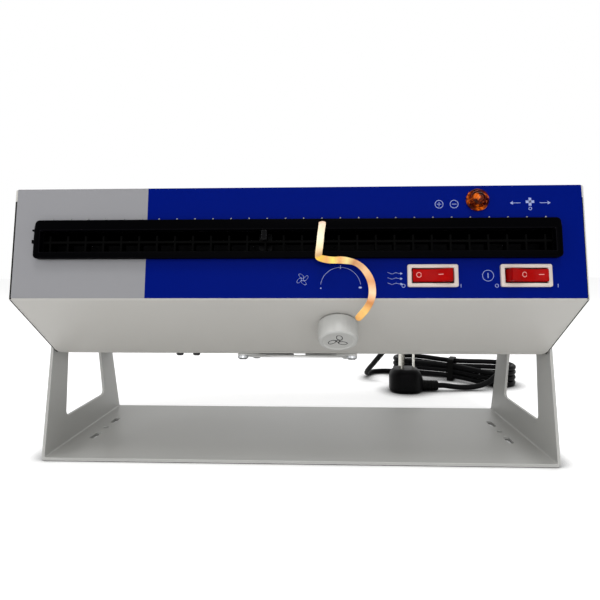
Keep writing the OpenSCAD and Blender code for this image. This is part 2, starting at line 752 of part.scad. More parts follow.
module speed_knob() color("#a9a9a8") on_slope(speed_x, speed_down) {
    skirt = 0.6;
    difference() {
        union() {
            rod(speed_diameter, skirt, skirt + 2);
            translate([0, 0, skirt + 2]) cylinder(d1 = speed_diameter, d2 = speed_diameter - 1.4, h = speed_height - 3);
            translate([0, 0, skirt + speed_height - 1])
                cylinder(d1 = speed_diameter - 1.4, d2 = speed_diameter - 3, h = 1);
        }
        rod(13.5, 0, 6);
        // pointer flat on the side nearest the panel
        block([-4, speed_diameter / 2 - 1.1, skirt + 2], [4, speed_diameter, speed_height + 2]);
    }
    rod(pot_shaft, -sheet - pot_height + 2, 6.5);
}

module switch_case(x) on_panel(x, switch_z) difference() {
    opening = [bezel_length - 6, bezel_height - 5.4];
    union() {
        linear_extrude(2) polygon(rounded([for (c = [[1, 1], [-1, 1], [-1, -1], [1, -1]])
            [c[0] * bezel_length / 2, c[1] * bezel_height / 2]], 1.5));
        translate([-switch_case[0] / 2, -switch_case[1] / 2, -switch_case[2]])
            cube([switch_case[0], switch_case[1], switch_case[2] + 0.1]);
        for (t = [-8, 0, 8]) translate([t, 0, -switch_case[2] - 3.9]) cube([0.8, 4.8, 8], center = true);
    }
    translate([-opening[0] / 2, -opening[1] / 2, -9]) cube([opening[0], opening[1], 20]);
    rotate([90, 0, 0]) cylinder(d = pin + 2 * running, h = bezel_height - 3.4, center = true);
}

module rocker(x, angle) on_panel(x, switch_z) rotate([0, angle, 0]) {
    length = bezel_length - 6 - 2 * fit;
    width = bezel_height - 5.4 - 2 * fit;
    rotate([90, 0, 0]) {
        intersection() {
            cylinder(d = length, h = width, center = true, $fn = 96);
            linear_extrude(width, center = true)
                polygon([[-length / 2, -4], [0, -5], [length / 2, -4], [length / 2, 5.4],
                         [length / 4, 3.6], [0, 3], [-length / 4, 3.6], [-length / 2, 5.4]]);
        }
        cylinder(d = pin, h = bezel_height - 3.6, center = true);
    }
}

module warm_switch() color("#efece2") switch_case(warm_x);
module power_switch() color("#efece2") switch_case(power_x);
module warm_rocker() color("#b01414") rocker(warm_x, -rocker_swing);
module power_rocker() color("#b01414") rocker(power_x, rocker_swing);

module lamp_holder() color("#d9d9d6") on_panel(lamp_x, lamp_z) difference() {
    union() {
        rod(lamp_flange, 0, 1.6);
        rod(lamp_thread, -14, 0.1);
        translate([0, 0, -sheet - 2.6]) cylinder(d = 12, h = 2.6, $fn = 6);
    }
    rod(lamp_thread - 2, -10, 3);
}

module lamp_lens() color("#c96a1e") on_panel(lamp_x, lamp_z) {
    rod(lamp_thread - 2 - 0.2, -6, 1.7);
    rod(lamp_dome, 1.6, 3.2);
    translate([0, 0, 3.2]) intersection() {
        scale(1) translate([0, 0, -2.2]) sphere(d = lamp_dome * 1.08);
        cylinder(d = lamp_dome, h = 8);
    }
}

// ---------------------------------------------------------------- air tell-tale

ribbon_x = 17.5;
ribbon_width = 5;
ribbon_thickness = 0.5;
// middle line of the free end, blown to the right: across from the ribbon, up from the duct's lower edge
ribbon_run = [[-1, 0.5], [8, -1.2], [18, -2.4], [25, -5.4], [30.5, -11], [33, -19], [31.5, -27], [26, -34], [19, -39]];

module air_ribbon() color("#f0c890") on_tilt_axis() {
    hang = duct_front - 0.3;
    run = folded([[panel_y - duct_lip, duct_top + 0.4], [hang, duct_top - duct_band + 0.1],
                  [hang, duct_low + 1]], 0.8);
    translate([ribbon_x, 0, 0]) across(ribbon_width) strip(reversed(run), ribbon_thickness);
    along(hang - 2 * ribbon_thickness, hang - ribbon_thickness) translate([ribbon_x, duct_low])
        strip(moved(ribbon_run, -ribbon_width / 2), ribbon_width);
}

// ---------------------------------------------------------------- mains cord and plug

plug = [114, 142, 0];
plug_width = 37;
plug_depth = 34;
plug_height = 26;
relief_length = 17;
relief_z = 6;
hank_middle = [180, 200, 0];
hank_turn = -24;
hank_straight = 50;
hank_radius = 24;
hank_height = 25;

lead_start = [gland_x,
              (gland_length + rear_y + 0.3) * cos(tilt),
              pivot_height - (gland_length + rear_y + 0.3) * sin(tilt)];
lead_route = [lead_start, lead_start + [0, 9, -2.5], [117, 108, 98], [110, 128, 82], [101, 147, 60],
              [91, 164, 40], [81, 181, 22], [76, 198, 10], [78, 214, 4], [87, 227, 3.2], [100, 231, 3.1],
              [112, 230, 3.1], [124, 226.5, 3.1]];
tail_route = [[225, 159, 19], [217, 152.5, 14.5], [208, 148, 9], [197, 146, 5], [184, 145, 3.4],
              [170, 143, 4.2], [157, plug[1], relief_z], [plug[0] + plug_width / 2 + relief_length, plug[1], relief_z]];

// Tube with flat ends swept through a list of points
module swept(p, d, sides = 10) {
    last = len(p) - 1;
    ways = [for (i = [0:last]) unit(p[min(i + 1, last)] - p[max(i - 1, 0)])];
    rings = [for (i = [0:last])
        let (side = unit(cross(ways[i], [0, 0, 1])), up = cross(side, ways[i]))
        each [for (k = [0:sides - 1])
            p[i] + d / 2 * (cos(360 * k / sides) * side + sin(360 * k / sides) * up)]];
    polyhedron(rings, concat(
        [[for (k = [sides - 1:-1:0]) k]],
        [for (i = [0:last - 1], k = [0:sides - 1])
            let (a = i * sides, b = a + sides, n = (k + 1) % sides)
            each [[a + k, b + n, b + k], [a + k, a + n, b + n]]],
        [[for (k = [0:sides - 1]) last * sides + k]]));
}

module cord_lead() color("#121214") swept(lead_route, cord_diameter);
module cord_tail() color("#121214") swept(tail_route, cord_diameter);

module cord_hank() color("#141416")
    translate(hank_middle) rotate(hank_turn) linear_extrude(hank_height) {
        square([2 * hank_straight, 2 * hank_radius], center = true);
        for (x = [-hank_straight, hank_straight]) translate([x, 0]) circle(hank_radius);
    }

module plug_body() color("#101012") translate(plug) difference() {
    union() {
        linear_extrude(plug_height - 5)
            polygon(rounded([[-plug_width / 2, -plug_depth / 2 + 5], [-plug_width / 2 + 6, -plug_depth / 2],
                             [plug_width / 2 - 6, -plug_depth / 2], [plug_width / 2, -plug_depth / 2 + 5],
                             [plug_width / 2, plug_depth / 2], [-plug_width / 2, plug_depth / 2]], 3));
        translate([0, 0, plug_height - 5.1]) linear_extrude(5.1)
            polygon(rounded([for (c = [[1, 1], [-1, 1], [-1, -1], [1, -1]])
                [c[0] * (plug_width / 2 - 1.5), c[1] * (plug_depth / 2 - 1.5)]], 3));
    }
    // finger grooves
    for (side = [-1, 1], z = [8:3:17]) translate([0, side * plug_depth / 2, z])
        cube([16, 1.6, 1.4], center = true);
}

module blade(turn, length) rotate(turn) translate([-3.2, -0.75, 0]) cube([6.4, 1.5, length]);

module plug_pins() color("#c9cbd0") translate([plug[0], plug[1], plug_height]) {
    translate([-5, -6, 0]) blade(60, 18);
    translate([-5, 6, 0]) blade(-60, 18);
    translate([8, 0, 0]) blade(90, 20);
}

module plug_relief() color("#101012")
    translate([plug[0] + plug_width / 2, plug[1], relief_z]) rotate([0, 90, 0]) difference() {
        cylinder(d1 = 11, d2 = cord_diameter + 2, h = relief_length);
        for (i = [0:3]) translate([0, 0, 4 + i * 3]) difference() {
            rod(14, 0, 1.2);
            rod(cord_diameter + 1.4, -1, 3);
        }
    }

stand_bracket();
pivot_washers();
chassis_pan();
front_cover();
rear_panel();
front_label();
pivot_nuts();
clamp_knob_left();
clamp_stud_left();
clamp_knob_right();
clamp_stud_right();
outlet_duct();
outlet_vanes();
emitter_bar();
emitter_needles();
needle_cleaner();
cleaner_bristles();
heater();
air_chamber();
fan_frame();
fan_motor();
fan_bearing();
fan_rotor();
finger_guard();
guard_screws();
hv_module();
hv_screws();
hv_lead();
control_board();
board_parts();
board_spacers();
potentiometer();
pot_nut();
speed_knob();
warm_switch();
warm_rocker();
power_switch();
power_rocker();
lamp_holder();
lamp_lens();
cord_gland();
mains_wires();
cover_screws();
air_ribbon();
cord_lead();
cord_hank();
cord_tail();
plug_body();
plug_pins();
plug_relief();
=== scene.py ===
import math

import bmesh
import bpy
from mathutils import Matrix, Vector


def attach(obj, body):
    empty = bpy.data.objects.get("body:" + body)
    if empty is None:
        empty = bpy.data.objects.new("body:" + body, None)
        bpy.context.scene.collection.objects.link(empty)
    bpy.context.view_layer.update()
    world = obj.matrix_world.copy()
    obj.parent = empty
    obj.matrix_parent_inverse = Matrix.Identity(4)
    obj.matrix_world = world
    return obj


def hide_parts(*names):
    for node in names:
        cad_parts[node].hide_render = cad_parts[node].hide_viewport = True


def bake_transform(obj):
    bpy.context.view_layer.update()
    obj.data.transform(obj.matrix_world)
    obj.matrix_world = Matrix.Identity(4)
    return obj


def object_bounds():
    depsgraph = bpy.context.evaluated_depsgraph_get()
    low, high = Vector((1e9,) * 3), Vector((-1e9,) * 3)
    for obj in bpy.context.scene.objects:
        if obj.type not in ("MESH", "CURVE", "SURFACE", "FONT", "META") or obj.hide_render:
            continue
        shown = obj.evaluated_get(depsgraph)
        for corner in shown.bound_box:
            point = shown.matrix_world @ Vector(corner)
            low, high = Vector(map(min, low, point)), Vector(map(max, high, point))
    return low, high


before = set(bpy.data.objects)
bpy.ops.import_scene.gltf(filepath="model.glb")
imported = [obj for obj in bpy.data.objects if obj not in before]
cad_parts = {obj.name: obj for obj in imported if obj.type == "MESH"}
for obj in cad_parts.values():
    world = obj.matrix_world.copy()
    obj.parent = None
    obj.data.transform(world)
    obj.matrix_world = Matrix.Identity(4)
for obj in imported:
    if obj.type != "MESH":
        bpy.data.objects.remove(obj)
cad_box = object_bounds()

# ---------------------------------------------------------------- camera
# A moderate wide lens just above table height, a little right of the middle
# and turned slightly left, about 40 cm in front of the tilt axis.
camera_data = bpy.data.cameras.new("camera")
camera_data.sensor_width = 36
camera_data.lens = 29.56
camera_data.clip_start = 0.02
camera = bpy.data.objects.new("camera", camera_data)
bpy.context.scene.collection.objects.link(camera)
camera.matrix_world = (
    Matrix.Translation((0.0169, -0.409, 0.1408))
    @ Matrix.Rotation(math.radians(2.284), 4, "Z")
    @ Matrix.Rotation(math.radians(90 - 4.015), 4, "X")
    @ Matrix.Rotation(math.radians(-0.145), 4, "Z")
)
bpy.context.scene.camera = camera
bpy.context.scene.view_settings.view_transform = "Standard"

# ---------------------------------------------------------------- mains cord
# A round black PVC mains cord, 1.5 m long and 6 mm thick. From the gland it
# drops behind the stand to a hank of about three turns, tied at its middle,
# and its end lies on the table with the plug.
cord_diameter = 0.006
cord_exit = (0.120, 0.08294, 0.10553)
lead_route = [
    cord_exit, (0.120, 0.09194, 0.10303), (0.117, 0.108, 0.098), (0.110, 0.128, 0.082),
    (0.101, 0.147, 0.060), (0.091, 0.164, 0.040), (0.081, 0.181, 0.022), (0.076, 0.198, 0.010),
    (0.078, 0.214, 0.004), (0.087, 0.227, 0.0032), (0.100, 0.231, 0.0031), (0.112, 0.230, 0.0031),
    (0.124, 0.2265, 0.0031),
]
tail_route = [
    (0.2170, 0.1525, 0.0145), (0.208, 0.148, 0.009), (0.197, 0.146, 0.005), (0.184, 0.145, 0.0034),
    (0.170, 0.143, 0.0042), (0.157, 0.142, 0.006), (0.1495, 0.142, 0.006),
]
hank_place = Matrix.Translation((0.180, 0.200, 0)) @ Matrix.Rotation(math.radians(-24), 4, "Z")
hank_straight, fold_radius, waist = 0.050, 0.0200, 0.0085


def hank_run(side, direction, low, high, skip=0):
    """One straight run of the hank, drawn in at its middle by the tie."""
    run = []
    for step in range(skip, 7):
        along = direction * (step / 3 - 1)
        out = waist + (fold_radius - waist) * math.sin(min(abs(along), 1) * math.pi / 2) ** 2
        run.append(hank_place @ Vector((along * hank_straight, side * out,
                                        low + (high - low) * step / 6)))
    return run


def hank_fold(end, first_side, low, high):
    """One fold of the hank round its end, from one side to the other."""
    fold = []
    for step in range(1, 8):
        turn = first_side * math.radians(90 - 22.5 * step)
        fold.append(hank_place @ Vector((end * (hank_straight + fold_radius * math.cos(turn)),
                                         fold_radius * math.sin(turn), low + (high - low) * step / 8)))
    return fold


hank_route = []
layer = 0.0062
for turn_number in range(4):
    low = 0.0031 + turn_number * layer
    hank_route += hank_run(1, 1, low, low, 3 if turn_number == 0 else 0)
    if turn_number < 3:
        hank_route += hank_fold(1, 1, low, low)
        hank_route += hank_run(-1, -1, low, low + layer)
        hank_route += hank_fold(-1, -1, low + layer, low + layer)
hank_route += hank_fold(1, 1, low, low - 0.001)[:6]


def smooth_run(points, spacing):
    """Closely spaced points on a smooth curve through the given ones."""
    points = [Vector(p) for p in points]
    points = [2 * points[0] - points[1]] + points + [2 * points[-1] - points[-2]]
    run = []
    for before, start, end, after in zip(points, points[1:], points[2:], points[3:]):
        count = max(2, round((end - start).length / spacing))
        for step in range(count):
            t = step / count
            run.append(0.5 * (2 * start + (end - before) * t
                              + (2 * before - 5 * start + 4 * end - after) * t ** 2
                              + (3 * start - before - 3 * end + after) * t ** 3))
    return run + [points[-2]]


def tube(name, path, diameter, sides):
    """A round tube with closed ends along a path, as a mesh object."""
    curve = bpy.data.curves.new(name, "CURVE")
    curve.dimensions = "3D"
    curve.bevel_depth = diameter / 2
    curve.bevel_resolution = max(0, (sides - 4) // 2)
    curve.use_fill_caps = True
    spline = curve.splines.new("POLY")
    spline.points.add(len(path) - 1)
    for point, place in zip(spline.points, path):
        point.co = (*place, 1)
    drawn = bpy.data.objects.new(name + "_line", curve)
    bpy.context.scene.collection.objects.link(drawn)
    mesh = bpy.data.meshes.new_from_object(drawn.evaluated_get(bpy.context.evaluated_depsgraph_get()))
    bpy.data.objects.remove(drawn)
    mesh.name = name
    mesh.polygons.foreach_set("use_smooth", [True] * len(mesh.polygons))
    mesh.set_sharp_from_angle(angle=math.radians(50))
    piece = bpy.data.objects.new(name, mesh)
    bpy.context.scene.collection.objects.link(piece)
    return piece


cord_route = lead_route + hank_route + tail_route
cord_path = smooth_run(cord_route, 0.003)
mains_cord = tube("mains_cord", cord_path, cord_diameter, 14)
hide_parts("cord_lead", "cord_hank", "cord_tail")
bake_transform(mains_cord)

# ---------------------------------------------------------------- table and light
# A white table top with painted shade in the creases under the stand, an even white
# room, and four soft lamps: in front, above, from the left and from behind.


def tone(red, green, blue):
    """A colour given 0 to 255, as the renderer's linear values."""
    return tuple(c / 255 / 12.92 if c <= 10 else ((c / 255 + 0.055) / 1.055) ** 2.4
                 for c in (red, green, blue)) + (1,)


def feed(node, values):
    """Sets a node's inputs by their names."""
    for label, value in values.items():
        node.inputs[label].default_value = value


def worked(tree, kind, *values):
    """A math node fed with numbers or with other nodes' outputs; returns its output."""
    node = tree.nodes.new("ShaderNodeMath")
    node.operation = kind
    for socket, value in zip(node.inputs, values):
        if isinstance(value, (int, float)):
            socket.default_value = value
        else:
            tree.links.new(value, socket)
    return node.outputs[0]


def seen_directly(tree):
    """One where the camera, a reflection or clear plastic looks at the surface."""
    rays = tree.nodes.new("ShaderNodeLightPath").outputs
    either = worked(tree, "MAXIMUM", rays["Is Camera Ray"], rays["Is Glossy Ray"])
    return worked(tree, "MAXIMUM", either, rays["Is Transmission Ray"])


room = bpy.data.worlds.new("room")
room.use_nodes = True
bpy.context.scene.world = room
room_tree = room.node_tree
room_tree.nodes.clear()
room_light = room_tree.nodes.new("ShaderNodeBackground")
room_white = room_tree.nodes.new("ShaderNodeBackground")
feed(room_light, {"Color": (1, 1, 1, 1), "Strength": 0.55})
feed(room_white, {"Color": (1, 1, 1, 1), "Strength": 1.0})
room_mix = room_tree.nodes.new("ShaderNodeMixShader")
room_output = room_tree.nodes.new("ShaderNodeOutputWorld")
room_tree.links.new(seen_directly(room_tree), room_mix.inputs[0])
room_tree.links.new(room_light.outputs[0], room_mix.inputs[1])
room_tree.links.new(room_white.outputs[0], room_mix.inputs[2])
room_tree.links.new(room_mix.outputs[0], room_output.inputs["Surface"])

table_paint = bpy.data.materials.new("table_white")
table_paint.use_nodes = True
table_tree = table_paint.node_tree
table_tree.nodes.clear()
table_matte = table_tree.nodes.new("ShaderNodeBsdfDiffuse")
table_glow = table_tree.nodes.new("ShaderNodeEmission")
table_sum = table_tree.nodes.new("ShaderNodeAddShader")
table_output = table_tree.nodes.new("ShaderNodeOutputMaterial")
# Painted shade: ambient occlusion darkens the table's colour and glow in creases and under the stand.
table_shade = table_tree.nodes.new("ShaderNodeAmbientOcclusion")
table_shade.samples = 8
table_shade.inputs["Distance"].default_value = 0.018
table_crease_shade = worked(table_tree, "POWER", table_shade.outputs["AO"], 2)
table_seen = worked(table_tree, "MULTIPLY", seen_directly(table_tree), table_crease_shade)
table_tree.links.new(worked(table_tree, "MULTIPLY", table_crease_shade, 0.9), table_matte.inputs["Color"])
table_tree.links.new(worked(table_tree, "MULTIPLY", table_seen, 0.45), table_glow.inputs["Strength"])
table_tree.links.new(table_matte.outputs[0], table_sum.inputs[0])
table_tree.links.new(table_glow.outputs[0], table_sum.inputs[1])
table_tree.links.new(table_sum.outputs[0], table_output.inputs["Surface"])

table_bm = bmesh.new()
bmesh.ops.create_circle(table_bm, cap_ends=True, segments=96, radius=6)
table_mesh = bpy.data.meshes.new("table_top")
table_bm.to_mesh(table_mesh)
table_bm.free()
table_mesh.materials.append(table_paint)
table_top = bpy.data.objects.new("table_top", table_mesh)
bpy.context.scene.collection.objects.link(table_top)
table_top.location = (0, 0, -0.0004)


def soft_lamp(name, place, aim, width, height, power):
    """A rectangular soft lamp that looks at a point."""
    data = bpy.data.lights.new(name, "AREA")
    data.shape = "RECTANGLE"
    data.size, data.size_y, data.energy = width, height, power
    lamp = bpy.data.objects.new(name, data)
    bpy.context.scene.collection.objects.link(lamp)
    lamp.location = place
    lamp.rotation_euler = (Vector(aim) - Vector(place)).to_track_quat("-Z", "Y").to_euler()
    return lamp


soft_lamp("front_panel_light", (0.1, -1.8, 0.75), (0, 0, 0.1), 1.6, 0.9, 12)
soft_lamp("top_panel_light", (0.1, -0.62, 1.6), (0, -0.02, 0.1), 0.45, 0.45, 7)
soft_lamp("left_panel_light", (-1.6, -0.8, 0.8), (0, 0, 0.1), 0.9, 0.9, 5)
soft_lamp("rear_panel_light", (0.5, 1.5, 0.9), (0, 0, 0.05), 1.8, 0.6, 3)

# ---------------------------------------------------------------- plug
# A moulded three-pin plug lying on its back with its pins up. Black PVC,
# moulded round nickel-plated brass pins, with a grooved sleeve for the cord.


def shader_group(name, inputs, outputs):
    """An empty shader node group with named sockets, and its input and output nodes."""
    group = bpy.data.node_groups.new(name, "ShaderNodeTree")
    for way, sockets in (("INPUT", inputs), ("OUTPUT", outputs)):
        for label in sockets:
            kind = "NodeSocketColor" if "colour" in label.lower() else "NodeSocketFloat"
            group.interface.new_socket(label, in_out=way, socket_type=kind)
    return group, group.nodes.new("NodeGroupInput"), group.nodes.new("NodeGroupOutput")


def surface_finish():
    """Shader group: a gently uneven colour and gloss, and the height of a fine grain."""
    group, given, made = shader_group(
        "surface_finish", ("Colour", "Unevenness", "Patches", "Grain", "Roughness", "Gloss spread"),
        ("Colour", "Roughness", "Height"))
    nodes, links = group.nodes, group.links
    place = nodes.new("ShaderNodeTexCoord")
    patches, grain = nodes.new("ShaderNodeTexNoise"), nodes.new("ShaderNodeTexNoise")
    patches.inputs["Detail"].default_value = 4
    grain.inputs["Detail"].default_value = 2
    for noise, label in ((patches, "Patches"), (grain, "Grain")):
        links.new(place.outputs["Object"], noise.inputs["Vector"])
        links.new(given.outputs[label], noise.inputs["Scale"])
    middle = worked(group, "SUBTRACT", patches.outputs["Fac"], 0.5)
    tint = nodes.new("ShaderNodeVectorMath")
    tint.operation = "SCALE"
    links.new(given.outputs["Colour"], tint.inputs[0])
    links.new(worked(group, "MULTIPLY_ADD", middle, given.outputs["Unevenness"], 1.0), tint.inputs["Scale"])
    links.new(tint.outputs[0], made.inputs["Colour"])
    links.new(worked(group, "MULTIPLY_ADD", middle, given.outputs["Gloss spread"],
                     given.outputs["Roughness"]), made.inputs["Roughness"])
    links.new(grain.outputs["Fac"], made.inputs["Height"])
    return group


def painted_edge_shading():
    """Shader group: painted edge shading; the colour turns to the edge colour near every corner, a painted
    highlight where that colour is lighter and painted shade where it is darker.
    """
    group, given, made = shader_group("painted_edge_shading", ("Colour", "Edge colour", "Amount", "Width"),
                                      ("Colour",))
    nodes, links = group.nodes, group.links
    rounded, plain = nodes.new("ShaderNodeBevel"), nodes.new("ShaderNodeNewGeometry")
    rounded.samples = 6
    alike = nodes.new("ShaderNodeVectorMath")
    alike.operation = "DOT_PRODUCT"
    turned_away = nodes.new("ShaderNodeMapRange")
    feed(turned_away, {"From Min": 1.0, "From Max": 0.8})
    mixed = nodes.new("ShaderNodeMix")
    mixed.data_type = "RGBA"
    links.new(given.outputs["Width"], rounded.inputs["Radius"])
    links.new(rounded.outputs["Normal"], alike.inputs[0])
    links.new(plain.outputs["Normal"], alike.inputs[1])
    links.new(alike.outputs["Value"], turned_away.inputs["Value"])
    links.new(worked(group, "MULTIPLY", turned_away.outputs["Result"], given.outputs["Amount"]),
              mixed.inputs["Factor"])
    links.new(given.outputs["Colour"], mixed.inputs["A"])
    links.new(given.outputs["Edge colour"], mixed.inputs["B"])
    links.new(mixed.outputs["Result"], made.inputs["Colour"])
    return group


finish_group = surface_finish()
painted_edge_group = painted_edge_shading()


def finish(name, colour, roughness, unevenness=0.12, patches=25, grain=900, depth=0.0001,
           bump=0.3, gloss_spread=0.15, metallic=0.0, coat=0.0, specular=0.5, edge=None,
           edge_amount=0.6, edge_width=0.0004):
    """A material of one finish, with painted edge shading in the edge colour where one is given."""
    material = bpy.data.materials.new(name)
    material.use_nodes = True
    tree = material.node_tree
    shader = tree.nodes["Principled BSDF"]
    feed(shader, {"Metallic": metallic, "Coat Weight": coat, "Coat Roughness": 0.08,
                  "Specular IOR Level": specular})
    own, relief = tree.nodes.new("ShaderNodeGroup"), tree.nodes.new("ShaderNodeBump")
    own.node_tree = finish_group
    feed(own, {"Colour": colour, "Unevenness": unevenness, "Patches": patches, "Grain": grain,
               "Roughness": roughness, "Gloss spread": gloss_spread})
    feed(relief, {"Strength": bump, "Distance": depth})
    coloured = own
    if edge:
        coloured = tree.nodes.new("ShaderNodeGroup")
        coloured.node_tree = painted_edge_group
        feed(coloured, {"Edge colour": edge, "Amount": edge_amount, "Width": edge_width})
        tree.links.new(own.outputs["Colour"], coloured.inputs["Colour"])
    tree.links.new(coloured.outputs["Colour"], shader.inputs["Base Color"])
    tree.links.new(own.outputs["Roughness"], shader.inputs["Roughness"])
    tree.links.new(own.outputs["Height"], relief.inputs["Height"])
    tree.links.new(relief.outputs["Normal"], shader.inputs["Normal"])
    return material


def dress(material, *nodes):
    """Gives solids of the part this material."""
    for node in nodes:
        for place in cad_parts[node].material_slots:
            place.material = material


def finished(name, bm, material, body, angle=35, place=None):
    """A bmesh made a piece: placed, faces outwards, shaded, dressed and set on its body."""
    bmesh.ops.recalc_face_normals(bm, faces=bm.faces)
    if place is not None:
        bm.transform(place)
    mesh = bpy.data.meshes.new(name)
    bm.to_mesh(mesh)
    bm.free()
    mesh.materials.append(material)
    mesh.polygons.foreach_set("use_smooth", [True] * len(mesh.polygons))
    mesh.set_sharp_from_angle(angle=math.radians(angle))
    piece = bpy.data.objects.new(name, mesh)
    bpy.context.scene.collection.objects.link(piece)
    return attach(piece, body)


def turned(bm, profile, axis, steps=72):
    """A closed profile (radius, height) turned into a solid about an axis through the origin."""
    along = Vector(axis)
    points = [bm.verts.new(Vector((radius, 0, 0)) + along * height) for radius, height in profile]
    edges = [bm.edges.new(pair) for pair in zip(points, points[1:])]
    bmesh.ops.spin(bm, geom=points + edges, cent=(0, 0, 0), axis=axis, angle=math.tau, steps=steps,
                   use_merge=True)
    bmesh.ops.remove_doubles(bm, verts=bm.verts, dist=0.000005)
    bmesh.ops.recalc_face_normals(bm, faces=bm.faces)


def block(bm, middle, size, place=Matrix()):
    """A square block about its middle."""
    bmesh.ops.create_cube(bm, size=1, matrix=place @ Matrix.Translation(middle)
                          @ Matrix.Diagonal((*size, 1)))


def running(bm, way, least):
    """The edges that run more than a least length along one way, 0 to 2 for x to z."""
    return [e for e in bm.edges if abs(e.verts[0].co[way] - e.verts[1].co[way]) > least]


def ease(bm, edges, offset, segments):
    """Rounds edges over."""
    bmesh.ops.bevel(bm, geom=edges, offset=offset, affect="EDGES", segments=segments, profile=0.5,
                    material=-1)


cord_black = finish("cord_pvc_black", tone(5, 5, 6), 0.45, grain=1400, depth=0.00005, specular=0.06)
mains_cord.data.materials.append(cord_black)
plug_black = finish("plug_pvc_black", tone(4, 4, 5), 0.42, grain=700, depth=0.00015, specular=0.06)
sleeve_black = finish("sleeve_rubber", tone(5, 5, 5), 0.55, grain=1100, specular=0.06)
pin_metal = finish("nickel_plate", tone(205, 203, 196), 0.25, metallic=1.0, unevenness=0.06)
dress(sleeve_black, "cord_gland")
plug_middle = Vector((0.114, 0.142, 0))
plug_long, plug_deep, plug_high = 0.037, 0.034, 0.026
sleeve_axis_height = 0.006
slope_start, shoulder_start, shoulder_height = 0.010, 0.009, 0.012
moulding = bmesh.new()
block(moulding, (0, 0, plug_high / 2), (plug_long, plug_deep, plug_high))
ease(moulding, running(moulding, 2, plug_high / 2), 0.0145, 9)
for level, round_over, steps in ((plug_high, 0.0065, 6), (0, 0.0035, 4)):
    rims = [e for e in moulding.edges if all(abs(v.co.z - level) < 0.00001 for v in e.verts)]
    ease(moulding, rims, round_over, steps)
for point in moulding.verts:
    # the top falls away towards the sleeve, and is rounded off on the far side
    near = max(0, (point.co.x - slope_start) / (plug_long / 2 - slope_start))
    far = max(0, (-shoulder_start - point.co.x) / (plug_long / 2 - shoulder_start))
    if point.co.z > sleeve_axis_height:
        point.co.z = sleeve_axis_height + (point.co.z - sleeve_axis_height) * (1 - 0.5 * near ** 2)
    point.co.y *= 1 - 0.2 * near
    if point.co.z > shoulder_height:
        point.co.z = shoulder_height + (point.co.z - shoulder_height) * (1 - 0.3 * far ** 2)
plug_shell = finished("plug_shell", moulding, plug_black, "stand", angle=50,
                      place=Matrix.Translation(plug_middle))
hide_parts("plug_body")
dress(pin_metal, "plug_pins")

groove_depth = 0.00025
sleeve = bmesh.new()
sleeve_profile = [(0, -0.003), (0.0060, -0.003), (0.0060, 0.0020)]
for groove in range(3):
    start = 0.0040 + 0.0036 * groove
    outer = 0.0059 - 0.0001 * groove
    sleeve_profile += [(outer, start), (outer - groove_depth, start + 0.0004),
                       (outer - groove_depth, start + 0.0008), (outer, start + 0.0012)]
sleeve_profile += [(0.0056, 0.0158), (0.0050, 0.0168), (0.0042, 0.0170), (0, 0.0170)]
turned(sleeve, sleeve_profile, (0, 0, 1), 40)
sleeve_start = plug_middle + Vector((plug_long / 2, 0, sleeve_axis_height))
plug_sleeve = finished("plug_sleeve", sleeve, sleeve_black, "stand", angle=40,
                       place=Matrix.Translation(sleeve_start) @ Matrix.Rotation(math.pi / 2, 4, "Y"))
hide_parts("plug_relief")

# ---------------------------------------------------------------- hank tie
# A soft black strap drawn round the middle of the folded cord, with a closed
# loop.
strap_width, strap_wall = 0.007, 0.0009
strap = bmesh.new()
block(strap, (0, 0, 0.0134), (strap_width, 2 * waist + 0.0078, 0.0264))
ease(strap, running(strap, 0, strap_width / 2), 0.0032, 5)
bmesh.ops.delete(strap, geom=[f for f in strap.faces if abs(f.normal.x) > 0.9], context="FACES_ONLY")
bmesh.ops.solidify(strap, geom=strap.faces[:], thickness=strap_wall)
finished("hank_tie", strap, sleeve_black, "stand", place=hank_place)

# ---------------------------------------------------------------- stand
# One 2 mm steel sheet folded to a U, with a window in each side plate and
# slots in the base. Satin grey powder coat over the whole bracket.
# The lighter edge colour is a painted highlight along the bracket's edges.
stand_paint = finish("stand_powder_coat", tone(170, 170, 167), 0.42, unevenness=0.05, patches=9,
                     grain=1300, depth=0.00008, bump=0.35, gloss_spread=0.1,
                     edge=tone(214, 213, 210), edge_width=0.0007)
dress(stand_paint, "stand_bracket")
washer_white = finish("nylon_white", tone(226, 224, 214), 0.45)
dress(washer_white, "pivot_washers")

# ---------------------------------------------------------------- tilt clamps
# A fluted black hand knob moulded on a zinc-plated M5 stud at each side, which
# screws into a nut inside the end plate and pinches the ear.
clamp_black = finish("clamp_phenolic", tone(14, 14, 15), 0.35, grain=800, specular=0.25)
zinc_steel = finish("zinc_plate", tone(186, 188, 190), 0.32, metallic=1.0, unevenness=0.1, patches=120)
dress(clamp_black, "clamp_knob_left", "clamp_knob_right")
dress(zinc_steel, "clamp_stud_left", "clamp_stud_right", "pivot_nuts", "guard_screws",
      "cover_screws", "pot_nut")

# ---------------------------------------------------------------- housing sheets
# The chassis pan, front cover and rear panel, folded from 1 mm steel and held
# by side screws. Warm grey powder coat with a fine orange-peel texture.
# The lighter edge colour is a painted highlight along the sheets' edges.
chassis_paint = finish("chassis_powder_coat", tone(186, 184, 179), 0.45, unevenness=0.05, patches=9,
                       grain=1300, depth=0.00008, bump=0.35, gloss_spread=0.1,
                       edge=tone(224, 223, 219), edge_width=0.0006)
dress(chassis_paint, "chassis_pan", "front_cover", "rear_panel")

